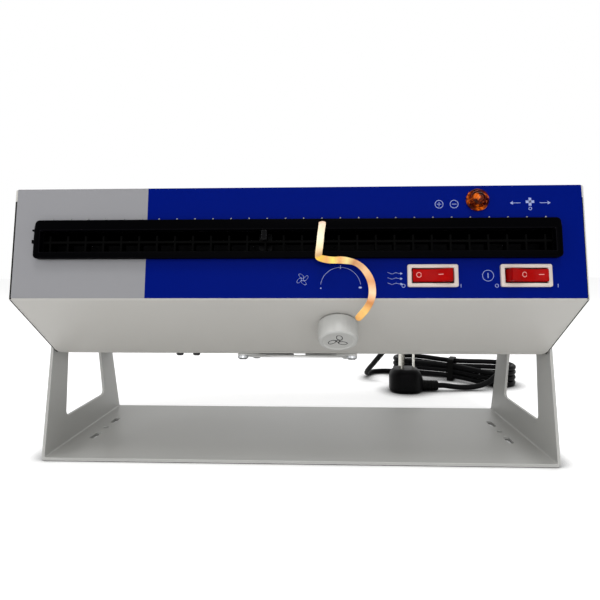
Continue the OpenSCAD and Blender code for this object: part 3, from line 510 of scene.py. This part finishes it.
# ---------------------------------------------------------------- front label
# A glossy printed film over the whole front panel, with openings for the mouth
# and the switches: grey at its left end, the rest deep blue, with white signs.
axis_height, rest_tilt = 0.1206, 10.3
tilt_axis = Matrix.Translation((0, 0, axis_height)) @ Matrix.Rotation(math.radians(-rest_tilt), 4, "X")
panel_half, panel_y, panel_top = 0.1806, -0.100, 0.0534
panel_low = panel_top - 0.0727
mouth_half, mouth_low, mouth_top = 0.1615, 0.0105, 0.0245
switch_up, switch_across = panel_low + 0.0148, {"warm": 0.087, "power": 0.144}
film_thickness, film_gap, label_split = 0.0004, 0.0002, -0.094
label_face = panel_y - film_thickness
ink_thickness = 0.00006

label_film = finish("label_film", tone(1, 24, 122), 0.3, unevenness=0.04, patches=6, grain=2200,
                    depth=0.00003, bump=0.2, gloss_spread=0.06, specular=0.01)
label_tree = label_film.node_tree
label_place = label_tree.nodes.new("ShaderNodeTexCoord")
label_across = label_tree.nodes.new("ShaderNodeSeparateXYZ")
label_inks = label_tree.nodes.new("ShaderNodeMix")
label_inks.data_type = "RGBA"
feed(label_inks, {"A": tone(140, 140, 143), "B": tone(0, 18, 108)})
label_tree.links.new(label_place.outputs["Object"], label_across.inputs[0])
label_tree.links.new(worked(label_tree, "GREATER_THAN", label_across.outputs["X"], label_split),
                     label_inks.inputs["Factor"])
label_tree.links.new(label_inks.outputs["Result"], label_tree.nodes["Group"].inputs["Colour"])


def cut_window(bm, left, right, low, high):
    """A square opening through an upright plate, with its four walls."""
    for place, normal in (((left, 0, 0), (1, 0, 0)), ((right, 0, 0), (1, 0, 0)),
                          ((0, 0, low), (0, 0, 1)), ((0, 0, high), (0, 0, 1))):
        bmesh.ops.bisect_plane(bm, geom=bm.verts[:] + bm.edges[:] + bm.faces[:],
                               plane_co=place, plane_no=normal)
    window = [f for f in bm.faces if abs(f.normal.y) > 0.99
              and left < f.calc_center_median().x < right and low < f.calc_center_median().z < high]
    bmesh.ops.delete(bm, geom=window, context="FACES_ONLY")
    bmesh.ops.delete(bm, geom=[e for e in bm.edges if not e.link_faces], context="EDGES")
    bmesh.ops.bridge_loops(bm, edges=[e for e in bm.edges if e.is_boundary])
    bmesh.ops.recalc_face_normals(bm, faces=bm.faces)


def windowed_plate(bm, half, low, high, back, front, corner, window_half, window_low, window_high):
    """A raised frame with rounded corners and a window through it, facing the front."""
    block(bm, (0, (back + front) / 2, (low + high) / 2), (2 * half, back - front, high - low))
    ease(bm, running(bm, 1, (back - front) / 2), corner, 5)
    cut_window(bm, -window_half, window_half, window_low, window_high)


def ink_place(sheet, across, up, turn=0):
    """Where a mark lies on a face; across and up are in mm from the middle of the face."""
    return (sheet @ Matrix.Translation((across / 1000, 0, up / 1000))
            @ Matrix.Rotation(math.radians(-turn), 4, "Y"))


def ink_bar(bm, sheet, across, up, length, width, turn=0):
    """A straight stroke."""
    block(bm, (0, 0, 0), (length / 1000, 2 * ink_thickness, width / 1000),
          ink_place(sheet, across, up, turn))


def ink_disc(bm, sheet, across, up, radius, sides=24, turn=0, squeeze=1):
    """A dot, or with three sides an arrowhead."""
    bmesh.ops.create_cone(
        bm, cap_ends=True, segments=sides, radius1=radius / 1000, radius2=radius / 1000,
        depth=2 * ink_thickness, matrix=ink_place(sheet, across, up, turn)
        @ Matrix.Diagonal((1, 1, squeeze, 1)) @ Matrix.Rotation(math.radians(90), 4, "X"))


def ink_arc(bm, sheet, across, up, radius, width, start=0, sweep=360, turn=0, squeeze=1):
    """A ring, or a part of one; angles run from the right, upwards."""
    ring = [bm.verts.new(((radius + out * width / 2) / 1000, deep * ink_thickness, 0))
            for out, deep in ((-1, -1), (1, -1), (1, 1), (-1, 1))]
    edges = [bm.edges.new((ring[i], ring[(i + 1) % 4])) for i in range(4)]
    bmesh.ops.rotate(bm, cent=(0, 0, 0), matrix=Matrix.Rotation(math.radians(-start), 3, "Y"), verts=ring)
    before = set(bm.verts) - set(ring)
    spun = bmesh.ops.spin(bm, geom=ring + edges, cent=(0, 0, 0), axis=(0, 1, 0),
                          angle=math.radians(-sweep), steps=max(8, int(sweep / 9)),
                          use_merge=sweep == 360)
    if sweep < 360:
        bmesh.ops.contextual_create(bm, geom=edges)
        bmesh.ops.contextual_create(bm, geom=[g for g in spun["geom_last"]
                                              if isinstance(g, bmesh.types.BMEdge)])
    bmesh.ops.transform(bm, matrix=ink_place(sheet, across, up, turn) @ Matrix.Diagonal((1, 1, squeeze, 1)),
                        verts=[v for v in bm.verts if v not in before])


film = bmesh.new()
windowed_plate(film, panel_half, panel_top - 0.0719, panel_top - 0.0003, label_face + film_thickness,
               label_face, 0.0008, mouth_half + film_gap, mouth_low - film_gap, mouth_top + film_gap)
hole_half, hole_tall = 0.0138, 0.0061
for across in switch_across.values():
    cut_window(film, across - hole_half, across + hole_half, switch_up - hole_tall, switch_up + hole_tall)
film_piece = finished("label_sheet", film, label_film, "housing", place=tilt_axis)
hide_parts("front_label")

signs = bmesh.new()
label_sheet = Matrix.Translation((0, label_face, panel_top))
ion_up, cleaner_up, power_up, switch_signs_up = -12.2, -11.7, -57.8, -64.1
dial_across, dial_up = 30.0, -65.0
# ionization: plus and minus in circles
for across in (92.2, 101.6):
    ink_arc(signs, label_sheet, across, ion_up, 2.5, 0.35)
    ink_bar(signs, label_sheet, across, ion_up, 2.8, 0.35)
ink_bar(signs, label_sheet, 92.2, ion_up, 2.8, 0.35, 90)
# needle cleaner: arrows to both sides of a cross
for way, across in ((-1, 140.2), (1, 157.2)):
    ink_bar(signs, label_sheet, across, cleaner_up, 5.2, 0.4)
    ink_disc(signs, label_sheet, across + way * 2.8, cleaner_up, 1.35, sides=3, turn=-90 * way, squeeze=0.9)
ink_bar(signs, label_sheet, 148.6, -11.0, 5.2, 1.7)
ink_bar(signs, label_sheet, 148.6, -11.0, 5.2, 1.7, 90)
ink_arc(signs, label_sheet, 148.6, -15.4, 0.9, 0.35)
# fan speed: a four-bladed fan, and an arc that grows from a small dot to a large one
for blade in range(4):
    turn = 90 * blade + 20
    ink_arc(signs, label_sheet, 6.2 + 2.2 * math.cos(math.radians(turn)),
            -60.0 + 2.2 * math.sin(math.radians(turn)), 1.9, 0.26, turn=turn + 30, squeeze=0.52)
ink_arc(signs, label_sheet, dial_across, dial_up, 12.6, 0.24, 8, 164)
ink_bar(signs, label_sheet, dial_across, dial_up + 12.8, 2.4, 0.45, 90)
ink_disc(signs, label_sheet, 17.6, -65.6, 0.45)
ink_disc(signs, label_sheet, 42.2, -65.2, 1.0, squeeze=0.6)
# warm air: three wavy arrows
for row in range(3):
    up = -56.2 - 3.3 * row
    for across, turn in ((60.6, -22), (63.4, 20), (65.9, -12)):
        ink_bar(signs, label_sheet, across, up, 2.9, 0.2, turn)
    ink_disc(signs, label_sheet, 67.6, up - 0.2, 0.95, sides=3, turn=-90)
# power: a stroke in a circle, and off and on beside each switch
ink_arc(signs, label_sheet, 121.0, power_up, 3.4, 0.3)
ink_bar(signs, label_sheet, 121.0, power_up, 3.2, 0.5, 90)
for across, sign in ((69.0, "off"), (104.3, "on"), (126.2, "off"), (163.2, "on")):
    if sign == "off":
        ink_arc(signs, label_sheet, across, switch_signs_up, 1.0, 0.32)
    else:
        ink_bar(signs, label_sheet, across, switch_signs_up, 2.2, 0.36, 90)
ink_white = finish("ink_white", tone(132, 144, 192), 0.4, unevenness=0.1, patches=400)
finished("label_signs", signs, ink_white, "housing", place=tilt_axis)

# ---------------------------------------------------------------- side seams
# The cover's front stops short of the folded side plates; a thin matte black strip
# along each gap, flush with the paint, is painted shadow in the seam.
seam_shadow_black = finish("seam_painted_shadow", tone(8, 8, 8), 0.6, specular=0.1)
seam = bmesh.new()
slope_drop, slope_back = 0.0333, 0.0615
slope_angle = math.atan2(slope_drop, slope_back)
shadow_strip_out, shadow_strip_middle, shadow_strip_run = 0.18135, 0.035, 0.069
slope_run = Matrix.Translation((0, panel_y, panel_low)) @ Matrix.Rotation(-slope_angle, 4, "X")
for side, width in ((-1, 0.0012), (1, 0.0006)):
    block(seam, (side * (panel_half + width / 2), panel_y + 0.0002, 0.01295), (width, 0.0008, 0.0643))
    block(seam, (side * shadow_strip_out, shadow_strip_middle, 0.0002), (0.0005, shadow_strip_run, 0.0008), slope_run)
ease(seam, seam.edges[:], 0.00008, 1)
finished("seam_shadow_strips", seam, seam_shadow_black, "housing", place=tilt_axis)

# ---------------------------------------------------------------- outlet
# The outlet surround, a black moulding with a sloping upper band, snapped into
# the panel from the front, with its throat behind the sheet.
outlet_half, outlet_low, outlet_top = 0.1655, 0.0065, 0.0321
outlet_front, surround_top, band_height = panel_y - 0.005, outlet_top - 0.0004, 0.0056
band_low = surround_top - band_height
throat_black = finish("throat_black", tone(1, 1, 1), 0.8, specular=0.0)
# The grey edge colour is a painted highlight along the surround's and latches' edges.
duct_black = finish("duct_abs_black", tone(1, 1, 2), 0.35, unevenness=0.2, grain=900, depth=0.00006,
                    specular=0.01, edge=tone(74, 70, 78), edge_amount=0.5, edge_width=0.0005)


def ease_front(bm, front, offset, segments=3, least=0.6):
    """Rounds the edges that lie on the front face."""
    rims = [e for e in bm.edges if len(e.link_faces) == 2 and e.calc_face_angle(0) > least
            and max(v.co.y for v in e.verts) < front + 0.002]
    ease(bm, rims, offset, segments)


surround = bmesh.new()
windowed_plate(surround, outlet_half, outlet_low, surround_top, panel_y, outlet_front, 0.0024,
               mouth_half, mouth_low, mouth_top)
bmesh.ops.bisect_plane(surround, geom=surround.verts[:] + surround.edges[:] + surround.faces[:],
                       plane_co=(0, 0, band_low), plane_no=(0, 0, 1))
for corner in surround.verts:
    if corner.co.z > band_low and corner.co.y < panel_y - 0.001:
        corner.co.y += 0.0016 * (corner.co.z - band_low) / band_height
ease_front(surround, outlet_front, 0.0005, least=0.2)
outlet_surround = finished("outlet_surround", surround, duct_black, "housing",
                           place=tilt_axis)

throat = bmesh.new()
throat_depth, throat_lap = 0.025, 0.0002
block(throat, (0, panel_y + throat_depth / 2, (mouth_low + mouth_top) / 2),
      (2 * mouth_half + throat_lap, throat_depth, mouth_top - mouth_low + throat_lap))
bmesh.ops.delete(throat, geom=[f for f in throat.faces if abs(f.normal.y) > 0.9], context="FACES_ONLY")
bmesh.ops.solidify(throat, geom=throat.faces[:], thickness=-0.0018)
outlet_throat = finished("outlet_throat", throat, throat_black, "housing", place=tilt_axis)
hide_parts("outlet_duct")
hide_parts("outlet_duct")

# ---------------------------------------------------------------- rim pins and latches
# Small bright zinc pins along the surround's upper edge hold it to the panel,
# and two moulded black latches clip it at its left end.
pin_count, pin_pitch = 28, 0.0116
pins = bmesh.new()
for count in range(pin_count):
    bmesh.ops.create_uvsphere(pins, u_segments=10, v_segments=8, radius=0.00065, matrix=Matrix.Translation(
        ((count - (pin_count - 1) / 2) * pin_pitch + 0.001, panel_y - 0.0010, outlet_top + 0.0003)))
pin_grey = finish("rim_pin_zinc", tone(132, 132, 134), 0.3, metallic=1.0)
finished("rim_pins", pins, pin_grey, "housing", place=tilt_axis)

latches = bmesh.new()
for up, tall in ((0.0247, 0.0013), (0.0174, 0.0024)):
    block(latches, (-outlet_half - 0.0002, outlet_front + 0.0016, up), (0.0026, 0.0024, tall))
ease(latches, latches.edges[:], 0.0004, 2)
finished("outlet_latches", latches, duct_black, "housing", place=tilt_axis)

# ---------------------------------------------------------------- guide vanes and needle cleaner
# A comb of moulded vanes with one long louvre, and the brush slide whose grip
# stands in the slot above the louvre.
vane_black = finish("vane_abs_black", tone(1, 1, 1), 0.5, specular=0.02)
dress(vane_black, "outlet_vanes")
# The grey edge colour is a painted highlight along the grip's edges.
cleaner_black = finish("cleaner_abs_black", tone(2, 2, 3), 0.35, specular=0.03, edge=tone(80, 80, 82),
                       edge_amount=0.5)
bristle_tan = finish("bristle_tan", tone(120, 104, 70), 0.6, unevenness=0.4, patches=600)
dress(cleaner_black, "needle_cleaner")
dress(bristle_tan, "cleaner_bristles")

# ---------------------------------------------------------------- emitters
# A black insulating bar runs across behind the outlet, with ground steel
# needles pressed into it.
bar_black = finish("insulator_black", tone(4, 4, 5), 0.5, specular=0.03)
needle_steel = finish("needle_steel", tone(200, 200, 204), 0.2, metallic=1.0, unevenness=0.05)
dress(bar_black, "emitter_bar")
dress(needle_steel, "emitter_needles")

# ---------------------------------------------------------------- heater and air chamber
# Aluminium fins on a mica carrier behind the emitters, and the folded zinc
# sheet that leads the fan's air to them.
# The aluminium fins are coloured near black as painted shade inside the outlet.
heater_shade_black = finish("heater_fins_painted_shade", tone(8, 8, 9), 0.5, specular=0.05)
chamber_zinc = finish("chamber_zinc", tone(168, 170, 168), 0.4, metallic=1.0, unevenness=0.35, patches=90)
dress(heater_shade_black, "heater")
dress(chamber_zinc, "air_chamber")

# ---------------------------------------------------------------- fan
# A 92 mm axial fan screwed under the chamber: black glass-filled frame and
# rotor, copper motor, bronze bearing, and a plated wire guard below.
fan_black = finish("fan_glass_filled_black", tone(16, 16, 17), 0.5, grain=1600, depth=0.00012, specular=0.3)
copper = finish("motor_copper", tone(184, 110, 66), 0.3, metallic=1.0)
bronze = finish("bearing_bronze", tone(176, 140, 82), 0.4, metallic=1.0)
# The lighter edge colour is a painted highlight along the guard's edges.
guard_plate = finish("guard_coated_wire", tone(214, 214, 212), 0.3, unevenness=0.06,
                     edge=tone(236, 236, 234))
dress(fan_black, "fan_frame", "fan_rotor")
dress(copper, "fan_motor")
dress(bronze, "fan_bearing")
dress(guard_plate, "finger_guard")

# ---------------------------------------------------------------- electronics
# The high-voltage module potted in a black case, the control board on brass
# spacers, the speed potentiometer and the wiring.
case_black = finish("potted_case_black", tone(26, 26, 28), 0.4)
board_green = finish("board_green", tone(30, 92, 48), 0.3, coat=0.4, unevenness=0.2, patches=300)
parts_blue = finish("component_bodies", tone(52, 74, 112), 0.35, unevenness=0.4, patches=60)
brass = finish("turned_brass", tone(196, 166, 92), 0.28, metallic=1.0)
lead_red = finish("silicone_red", tone(158, 36, 28), 0.5)
wire_dark = finish("wire_sheath_dark", tone(36, 36, 38), 0.5)
dress(case_black, "hv_module", "hv_screws")
dress(board_green, "control_board")
dress(parts_blue, "board_parts")
dress(brass, "board_spacers")
dress(lead_red, "hv_lead")
dress(zinc_steel, "potentiometer")
dress(wire_dark, "mains_wires")

# ---------------------------------------------------------------- speed knob
# A light grey moulded knob pressed on the potentiometer's shaft, with a
# rounded rim, a shallow dished face and a printed fan.
knob_down, knob_across = 0.0275, 0.029
knob_seat = (tilt_axis @ Matrix.Translation((knob_across, panel_y + knob_down * math.cos(slope_angle),
                                             panel_low - knob_down * math.sin(slope_angle)))
             @ Matrix.Rotation(math.pi / 2 - slope_angle, 4, "X"))
knob_radius, knob_foot, knob_face, knob_dish = 0.013, 0.0006, 0.0146, 0.0007
knob_sides, flute_every, flute_depth = 96, 4, 0.988
# The lighter edge colour is a painted highlight along the knob's rim and flutes.
knob_grey = finish("knob_abs_grey", tone(180, 180, 177), 0.38, grain=700, edge=tone(206, 206, 203),
                   edge_amount=0.5)
knob = bmesh.new()
turned(knob, [(0, knob_foot), (0.0122, knob_foot), (knob_radius, knob_foot + 0.0008),
              (knob_radius, knob_face - 0.0018), (knob_radius - 0.0003, knob_face - 0.0008),
              (knob_radius - 0.0010, knob_face - 0.0002), (knob_radius - 0.0018, knob_face),
              (knob_radius - 0.0026, knob_face - 0.0001), (knob_radius - 0.0032, knob_face - 0.0005),
              (0.006, knob_face - knob_dish), (0, knob_face - knob_dish)], (0, -1, 0), knob_sides)
for point in knob.verts:
    if math.hypot(point.co.x, point.co.z) > knob_radius - 0.0001:
        number = round(math.atan2(point.co.z, point.co.x) / math.tau * knob_sides)
        if number % flute_every == 0:
            point.co.x *= flute_depth
            point.co.z *= flute_depth
speed_cap = finished("speed_cap", knob, knob_grey, "speed_dial", angle=25, place=knob_seat)
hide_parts("speed_knob")

knob_ink = finish("knob_ink_black", tone(24, 24, 26), 0.4, specular=0.2)
knob_print = bmesh.new()
knob_sheet = Matrix.Translation((0, knob_dish - knob_face, 0))
for blade in range(3):
    turn = 80 + 120 * blade
    ink_arc(knob_print, knob_sheet, 4.2 * math.cos(math.radians(turn)), 4.2 * math.sin(math.radians(turn)),
            3.0, 0.8, turn=turn + 25, squeeze=0.62)
ink_arc(knob_print, knob_sheet, 0, 0, 1.2, 0.7)
ink_bar(knob_print, knob_sheet, -9.3, 0.6, 1.8, 0.6)
finished("speed_cap_print", knob_print, knob_ink, "speed_dial", place=knob_seat)

# ---------------------------------------------------------------- switches
# Two snap-in rocker switches: a cream bezel with rounded edges, a thin black well that is
# painted shade round the rocker, and a red rocker with a dished face, marked off and on.
# The lighter edge colour is a painted highlight along the bezels' edges.
bezel_cream = finish("bezel_cream", tone(198, 186, 178), 0.3, specular=0.3, edge=tone(226, 218, 208))
case_cream = finish("switch_case_cream", tone(206, 200, 188), 0.45)
well_shade_black = finish("switch_well_painted_shade", tone(8, 3, 3), 0.5, specular=0.05)
# The darker edge colour is painted shade along the rockers' edges.
rocker_red = finish("rocker_red", tone(152, 5, 4), 0.25, specular=0.04, unevenness=0.9, patches=95,
                    edge=tone(92, 4, 4), edge_amount=0.8, edge_width=0.0007)
rocker_ink = finish("rocker_ink_white", tone(214, 150, 144), 0.4)
bezel_half, bezel_tall, bezel_rise = 0.0156, 0.0071, 0.0021
well_half, well_tall = 0.01295, 0.0047
rocker_half, rocker_width, rocker_face, rocker_dish, rocker_swing = 0.0120, 0.0078, 0.0028, 0.0030, 10
for key, swing, marks in (("warm", -1, (("off", -8.2), ("on", 5.0))),
                          ("power", 1, (("off", -2.4), ("on", 8.0)))):
    switch_seat = tilt_axis @ Matrix.Translation((switch_across[key], panel_y, switch_up))
    bezel = bmesh.new()
    windowed_plate(bezel, bezel_half, -bezel_tall, bezel_tall, 0, -bezel_rise, 0.0012,
                   well_half, -well_tall, well_tall)
    ease_front(bezel, -bezel_rise, 0.0005)
    finished_bezel = finished(key + "_bezel", bezel, bezel_cream, "housing",
                              place=switch_seat)
    case = bmesh.new()
    block(case, (0, 0.0140, 0), (0.0270, 0.0100, 0.0116))
    ease(case, case.edges[:], 0.0006, 2)
    for terminal in (-0.008, 0, 0.008):
        block(case, (terminal, 0.0228, 0), (0.0008, 0.0082, 0.0048))
    finished_case = finished(key + "_case", case, case_cream, "housing", place=switch_seat)
    for made in (finished_bezel, finished_case):
        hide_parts(key + "_switch")
    # A thin black sheet lining the opening: painted shade in the gap round the rocker.
    well = bmesh.new()
    block(well, (0, 0.0045, 0), (0.0258, 2 * well_tall, 2 * well_tall))
    bmesh.ops.delete(well, geom=[f for f in well.faces if f.normal.y < -0.9], context="FACES_ONLY")
    bmesh.ops.solidify(well, geom=well.faces[:], thickness=-0.0001)
    finished(key + "_well", well, well_shade_black, "housing", place=switch_seat)
    rocker = bmesh.new()
    stations = [step * rocker_half / 6 - rocker_half for step in range(13)]
    outline = [rocker.verts.new((x, -rocker_face - rocker_dish * (x / rocker_half) ** 2, -rocker_width / 2))
               for x in stations]
    outline += [rocker.verts.new((x, 0.0046 - 0.0014 * (x / rocker_half) ** 2, -rocker_width / 2))
                for x in reversed(stations[::3])]
    grown = bmesh.ops.extrude_face_region(rocker, geom=[rocker.faces.new(outline)])
    bmesh.ops.translate(rocker, vec=(0, 0, rocker_width),
                        verts=[v for v in grown["geom"] if isinstance(v, bmesh.types.BMVert)])
    bmesh.ops.recalc_face_normals(rocker, faces=rocker.faces)
    rims = [e for e in rocker.edges if len(e.link_faces) == 2 and e.calc_face_angle(0) > 0.7]
    ease(rocker, rims, 0.0005, 3)
    rocker_seat = switch_seat @ Matrix.Rotation(math.radians(swing * rocker_swing), 4, "Z")
    rocker_cap = finished(key + "_rocker_cap", rocker, rocker_red, key + "_key",
                          place=rocker_seat)
    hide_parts(key + "_rocker")
    rocker_print = bmesh.new()
    for sign, x in marks:
        dish = x / 1000 / rocker_half
        mark_sheet = (Matrix.Translation((x / 1000, -rocker_face - rocker_dish * dish ** 2, 0))
                      @ Matrix.Rotation(-math.atan(2 * rocker_dish * dish / rocker_half), 4, "Z"))
        if sign == "off":
            ink_arc(rocker_print, mark_sheet, 0, 0.3, 1.5, 0.42)
        else:
            ink_bar(rocker_print, mark_sheet, 0, 0.4, 3.0, 0.4)
    finished(key + "_rocker_print", rocker_print, rocker_ink, key + "_key",
             place=rocker_seat)

# ---------------------------------------------------------------- lamp
# The ionization lamp: a plated holder through the panel, under an amber lens
# with turned rings that covers its flange.


def tone_ramp(tree, stops):
    """A colour ramp through the given tones; the first two stops take up its own two."""
    node = tree.nodes.new("ShaderNodeValToRGB")
    ramp = node.color_ramp.elements
    for number, (stop, colour) in enumerate(stops):
        here = ramp[number] if number < 2 else ramp.new(stop)
        here.position, here.color = stop, tone(*colour)
    return node


lamp_seat = tilt_axis @ Matrix.Translation((0.116, panel_y, panel_top - 0.0098))
lamp_plate = finish("lamp_plated_bezel", tone(176, 150, 110), 0.25, metallic=1.0)
dress(lamp_plate, "lamp_holder")
lamp_amber = finish("lamp_amber", tone(112, 34, 3), 0.16, unevenness=0.6, patches=500, specular=0.12)
lamp_tree = lamp_amber.node_tree
# Painted glints: noise mottles the amber lens with bright orange highlights and dark brown shade.
lamp_painted_glints = lamp_tree.nodes.new("ShaderNodeTexNoise")
feed(lamp_painted_glints, {"Scale": 150, "Distortion": 1.5})
lamp_glint_tones = tone_ramp(lamp_tree, ((0.42, (48, 9, 1)), (0.66, (226, 108, 20)), (0.54, (104, 32, 4))))
lamp_place = lamp_tree.nodes.new("ShaderNodeTexCoord")
lamp_tree.links.new(lamp_place.outputs["Object"], lamp_painted_glints.inputs["Vector"])
lamp_tree.links.new(lamp_painted_glints.outputs["Fac"], lamp_glint_tones.inputs["Fac"])
lamp_tree.links.new(lamp_glint_tones.outputs["Color"], lamp_tree.nodes["Group"].inputs["Colour"])
lens = bmesh.new()
turned(lens, [(0, 0.0004), (0.0069, 0.0004), (0.0072, 0.0010), (0.0071, 0.0018), (0.0064, 0.0024),
              (0.0060, 0.0020), (0.0056, 0.0024), (0.0054, 0.0038), (0.0048, 0.0046), (0.0045, 0.0041),
              (0.0041, 0.0046), (0.0037, 0.0056), (0.0031, 0.0061), (0.0028, 0.0056), (0.0024, 0.0060),
              (0.0020, 0.0066), (0.0012, 0.0069), (0, 0.0070)], (0, -1, 0), 48)
lamp_cap = finished("lamp_cap", lens, lamp_amber, "housing", angle=50, place=lamp_seat)
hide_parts("lamp_lens")

# ---------------------------------------------------------------- air ribbon
# A 5 mm strip of thin crinkled film, tied under the surround's upper rim. It
# hangs over the band and the mouth, folds over at the lower edge, and its free
# end bows out to the right in the air.
ribbon_half = 0.0025
ribbon_stations = [  # across, out from the panel, down from its top, then the strip's own width direction
    (18.4, 4.0, 23.6, 1.0, 0.0, 0.05), (18.6, 4.9, 25.4, 1.0, 0.0, 0.06),
    (18.4, 5.8, 27.4, 0.95, 0.2, 0.08), (17.8, 6.4, 31.0, 0.9, 0.25, 0.1),
    (17.4, 6.5, 35.0, 0.85, -0.1, 0.12), (17.1, 6.2, 39.0, 0.88, 0.2, 0.1),
    (16.5, 6.2, 43.0, 0.95, 0.05, 0.12), (16.2, 5.9, 46.2, 1.0, 0.0, 0.2),
    (16.25, 5.95, 46.9, 1.0, 0.05, 0.4), (16.9, 6.6, 47.5, 0.62, 0.1, 0.8),
    (19.0, 7.3, 48.3, 0.3, 0.2, 1.0), (22.4, 7.3, 49.0, 0.05, 0.0, 1.0),
    (26.0, 8.0, 49.3, -0.05, 0.35, 1.0), (29.6, 7.8, 49.1, 0.05, -0.3, 1.0),
    (33.4, 8.4, 49.6, 0.12, -0.5, 0.85), (37.6, 8.5, 50.4, 0.35, -0.75, 0.6),
    (41.6, 9.1, 52.6, 0.5, -0.65, 0.45), (45.2, 9.2, 56.6, 0.75, -0.5, 0.36),
    (47.8, 9.5, 61.4, 0.88, -0.3, 0.2), (48.9, 9.1, 66.4, 0.95, 0.1, 0.0),
    (48.8, 9.1, 71.4, 0.9, -0.15, -0.2), (47.4, 8.3, 75.8, 0.84, 0.3, -0.4),
    (44.8, 8.1, 79.8, 0.76, 0.1, -0.6), (41.8, 7.3, 83.2, 0.7, 0.25, -0.68),
    (39.0, 7.2, 86.0, 0.72, -0.1, -0.7)]
ribbon = bmesh.new()
ribbon_uv = ribbon.loops.layers.uv.new("along")
edge = None
ribbon_length = 0.0
last_middle = None
for across, out, down, wide_x, wide_y, wide_z in ribbon_stations:
    middle = Vector((across / 1000, panel_y - out / 1000, panel_top - down / 1000))
    wide = Vector((wide_x, wide_y, wide_z)).normalized() * ribbon_half
    if edge is None:
        ends = [ribbon.verts.new(middle - wide), ribbon.verts.new(middle + wide)]
        edge = ribbon.edges.new(ends)
    else:
        grown = bmesh.ops.extrude_edge_only(ribbon, edges=[edge])
        edge = next(g for g in grown["geom"] if isinstance(g, bmesh.types.BMEdge)
                    and not any(v in ends for v in g.verts))
        matched = [next(v for v in edge.verts if end in [e.other_vert(v) for e in v.link_edges])
                   for end in ends]
        matched[0].co, matched[1].co = middle - wide, middle + wide
        step = (middle - last_middle).length
        for face in (f for f in ribbon.faces if matched[0] in f.verts and ends[0] in f.verts):
            for loop in face.loops:
                loop[ribbon_uv].uv = (0 if loop.vert in (matched[0], ends[0]) else 1,
                                      ribbon_length + (step if loop.vert in matched else 0))
        ribbon_length += step
        ends = matched
    last_middle = middle
ribbon_film = finish("ribbon_film", tone(247, 226, 176), 0.35, unevenness=0.35, patches=260, grain=500,
                     depth=0.0004, bump=0.6)
ribbon_tree = ribbon_film.node_tree
ribbon_place = ribbon_tree.nodes.new("ShaderNodeUVMap")
ribbon_place.uv_map = "along"
ribbon_along = ribbon_tree.nodes.new("ShaderNodeSeparateXYZ")
# The colour runs from cream to orange along the strip; the bright yellow stops are painted glints and the
# darker brown stops painted shade in its bends.
ribbon_tones_and_glints = tone_ramp(ribbon_tree, (
    (0.0, (214, 176, 150)), (1.0, (214, 150, 70)), (0.05, (244, 222, 190)), (0.13, (252, 240, 206)),
    (0.20, (240, 216, 170)), (0.255, (196, 150, 92)), (0.275, (240, 196, 70)), (0.33, (228, 160, 84)),
    (0.37, (246, 214, 96)), (0.42, (226, 162, 96)), (0.47, (250, 226, 150)), (0.52, (214, 150, 96)),
    (0.62, (240, 196, 146)), (0.70, (222, 152, 96)), (0.78, (246, 206, 160)), (0.85, (206, 130, 66)),
    (0.92, (246, 196, 110))))
ribbon_tree.links.new(ribbon_place.outputs["UV"], ribbon_along.inputs[0])
ribbon_tree.links.new(worked(ribbon_tree, "DIVIDE", ribbon_along.outputs["Y"], ribbon_length),
                      ribbon_tones_and_glints.inputs["Fac"])
ribbon_tree.links.new(ribbon_tones_and_glints.outputs["Color"], ribbon_tree.nodes["Group"].inputs["Colour"])
sharp = ribbon.edges.layers.float.new("crease_edge")
for cut_end in [e for e in ribbon.edges if all(len(v.link_edges) == 2 for v in e.verts)]:
    cut_end[sharp] = 1.0
streamer = finished("streamer", ribbon, ribbon_film, "housing", angle=60, place=tilt_axis)
film_wall = streamer.modifiers.new("film_wall", "SOLIDIFY")
film_wall.thickness, film_wall.offset = 0.00025, 0
film_curve = streamer.modifiers.new("film_curve", "SUBSURF")
film_curve.levels = film_curve.render_levels = 2
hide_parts("air_ribbon")

low, high = cad_box
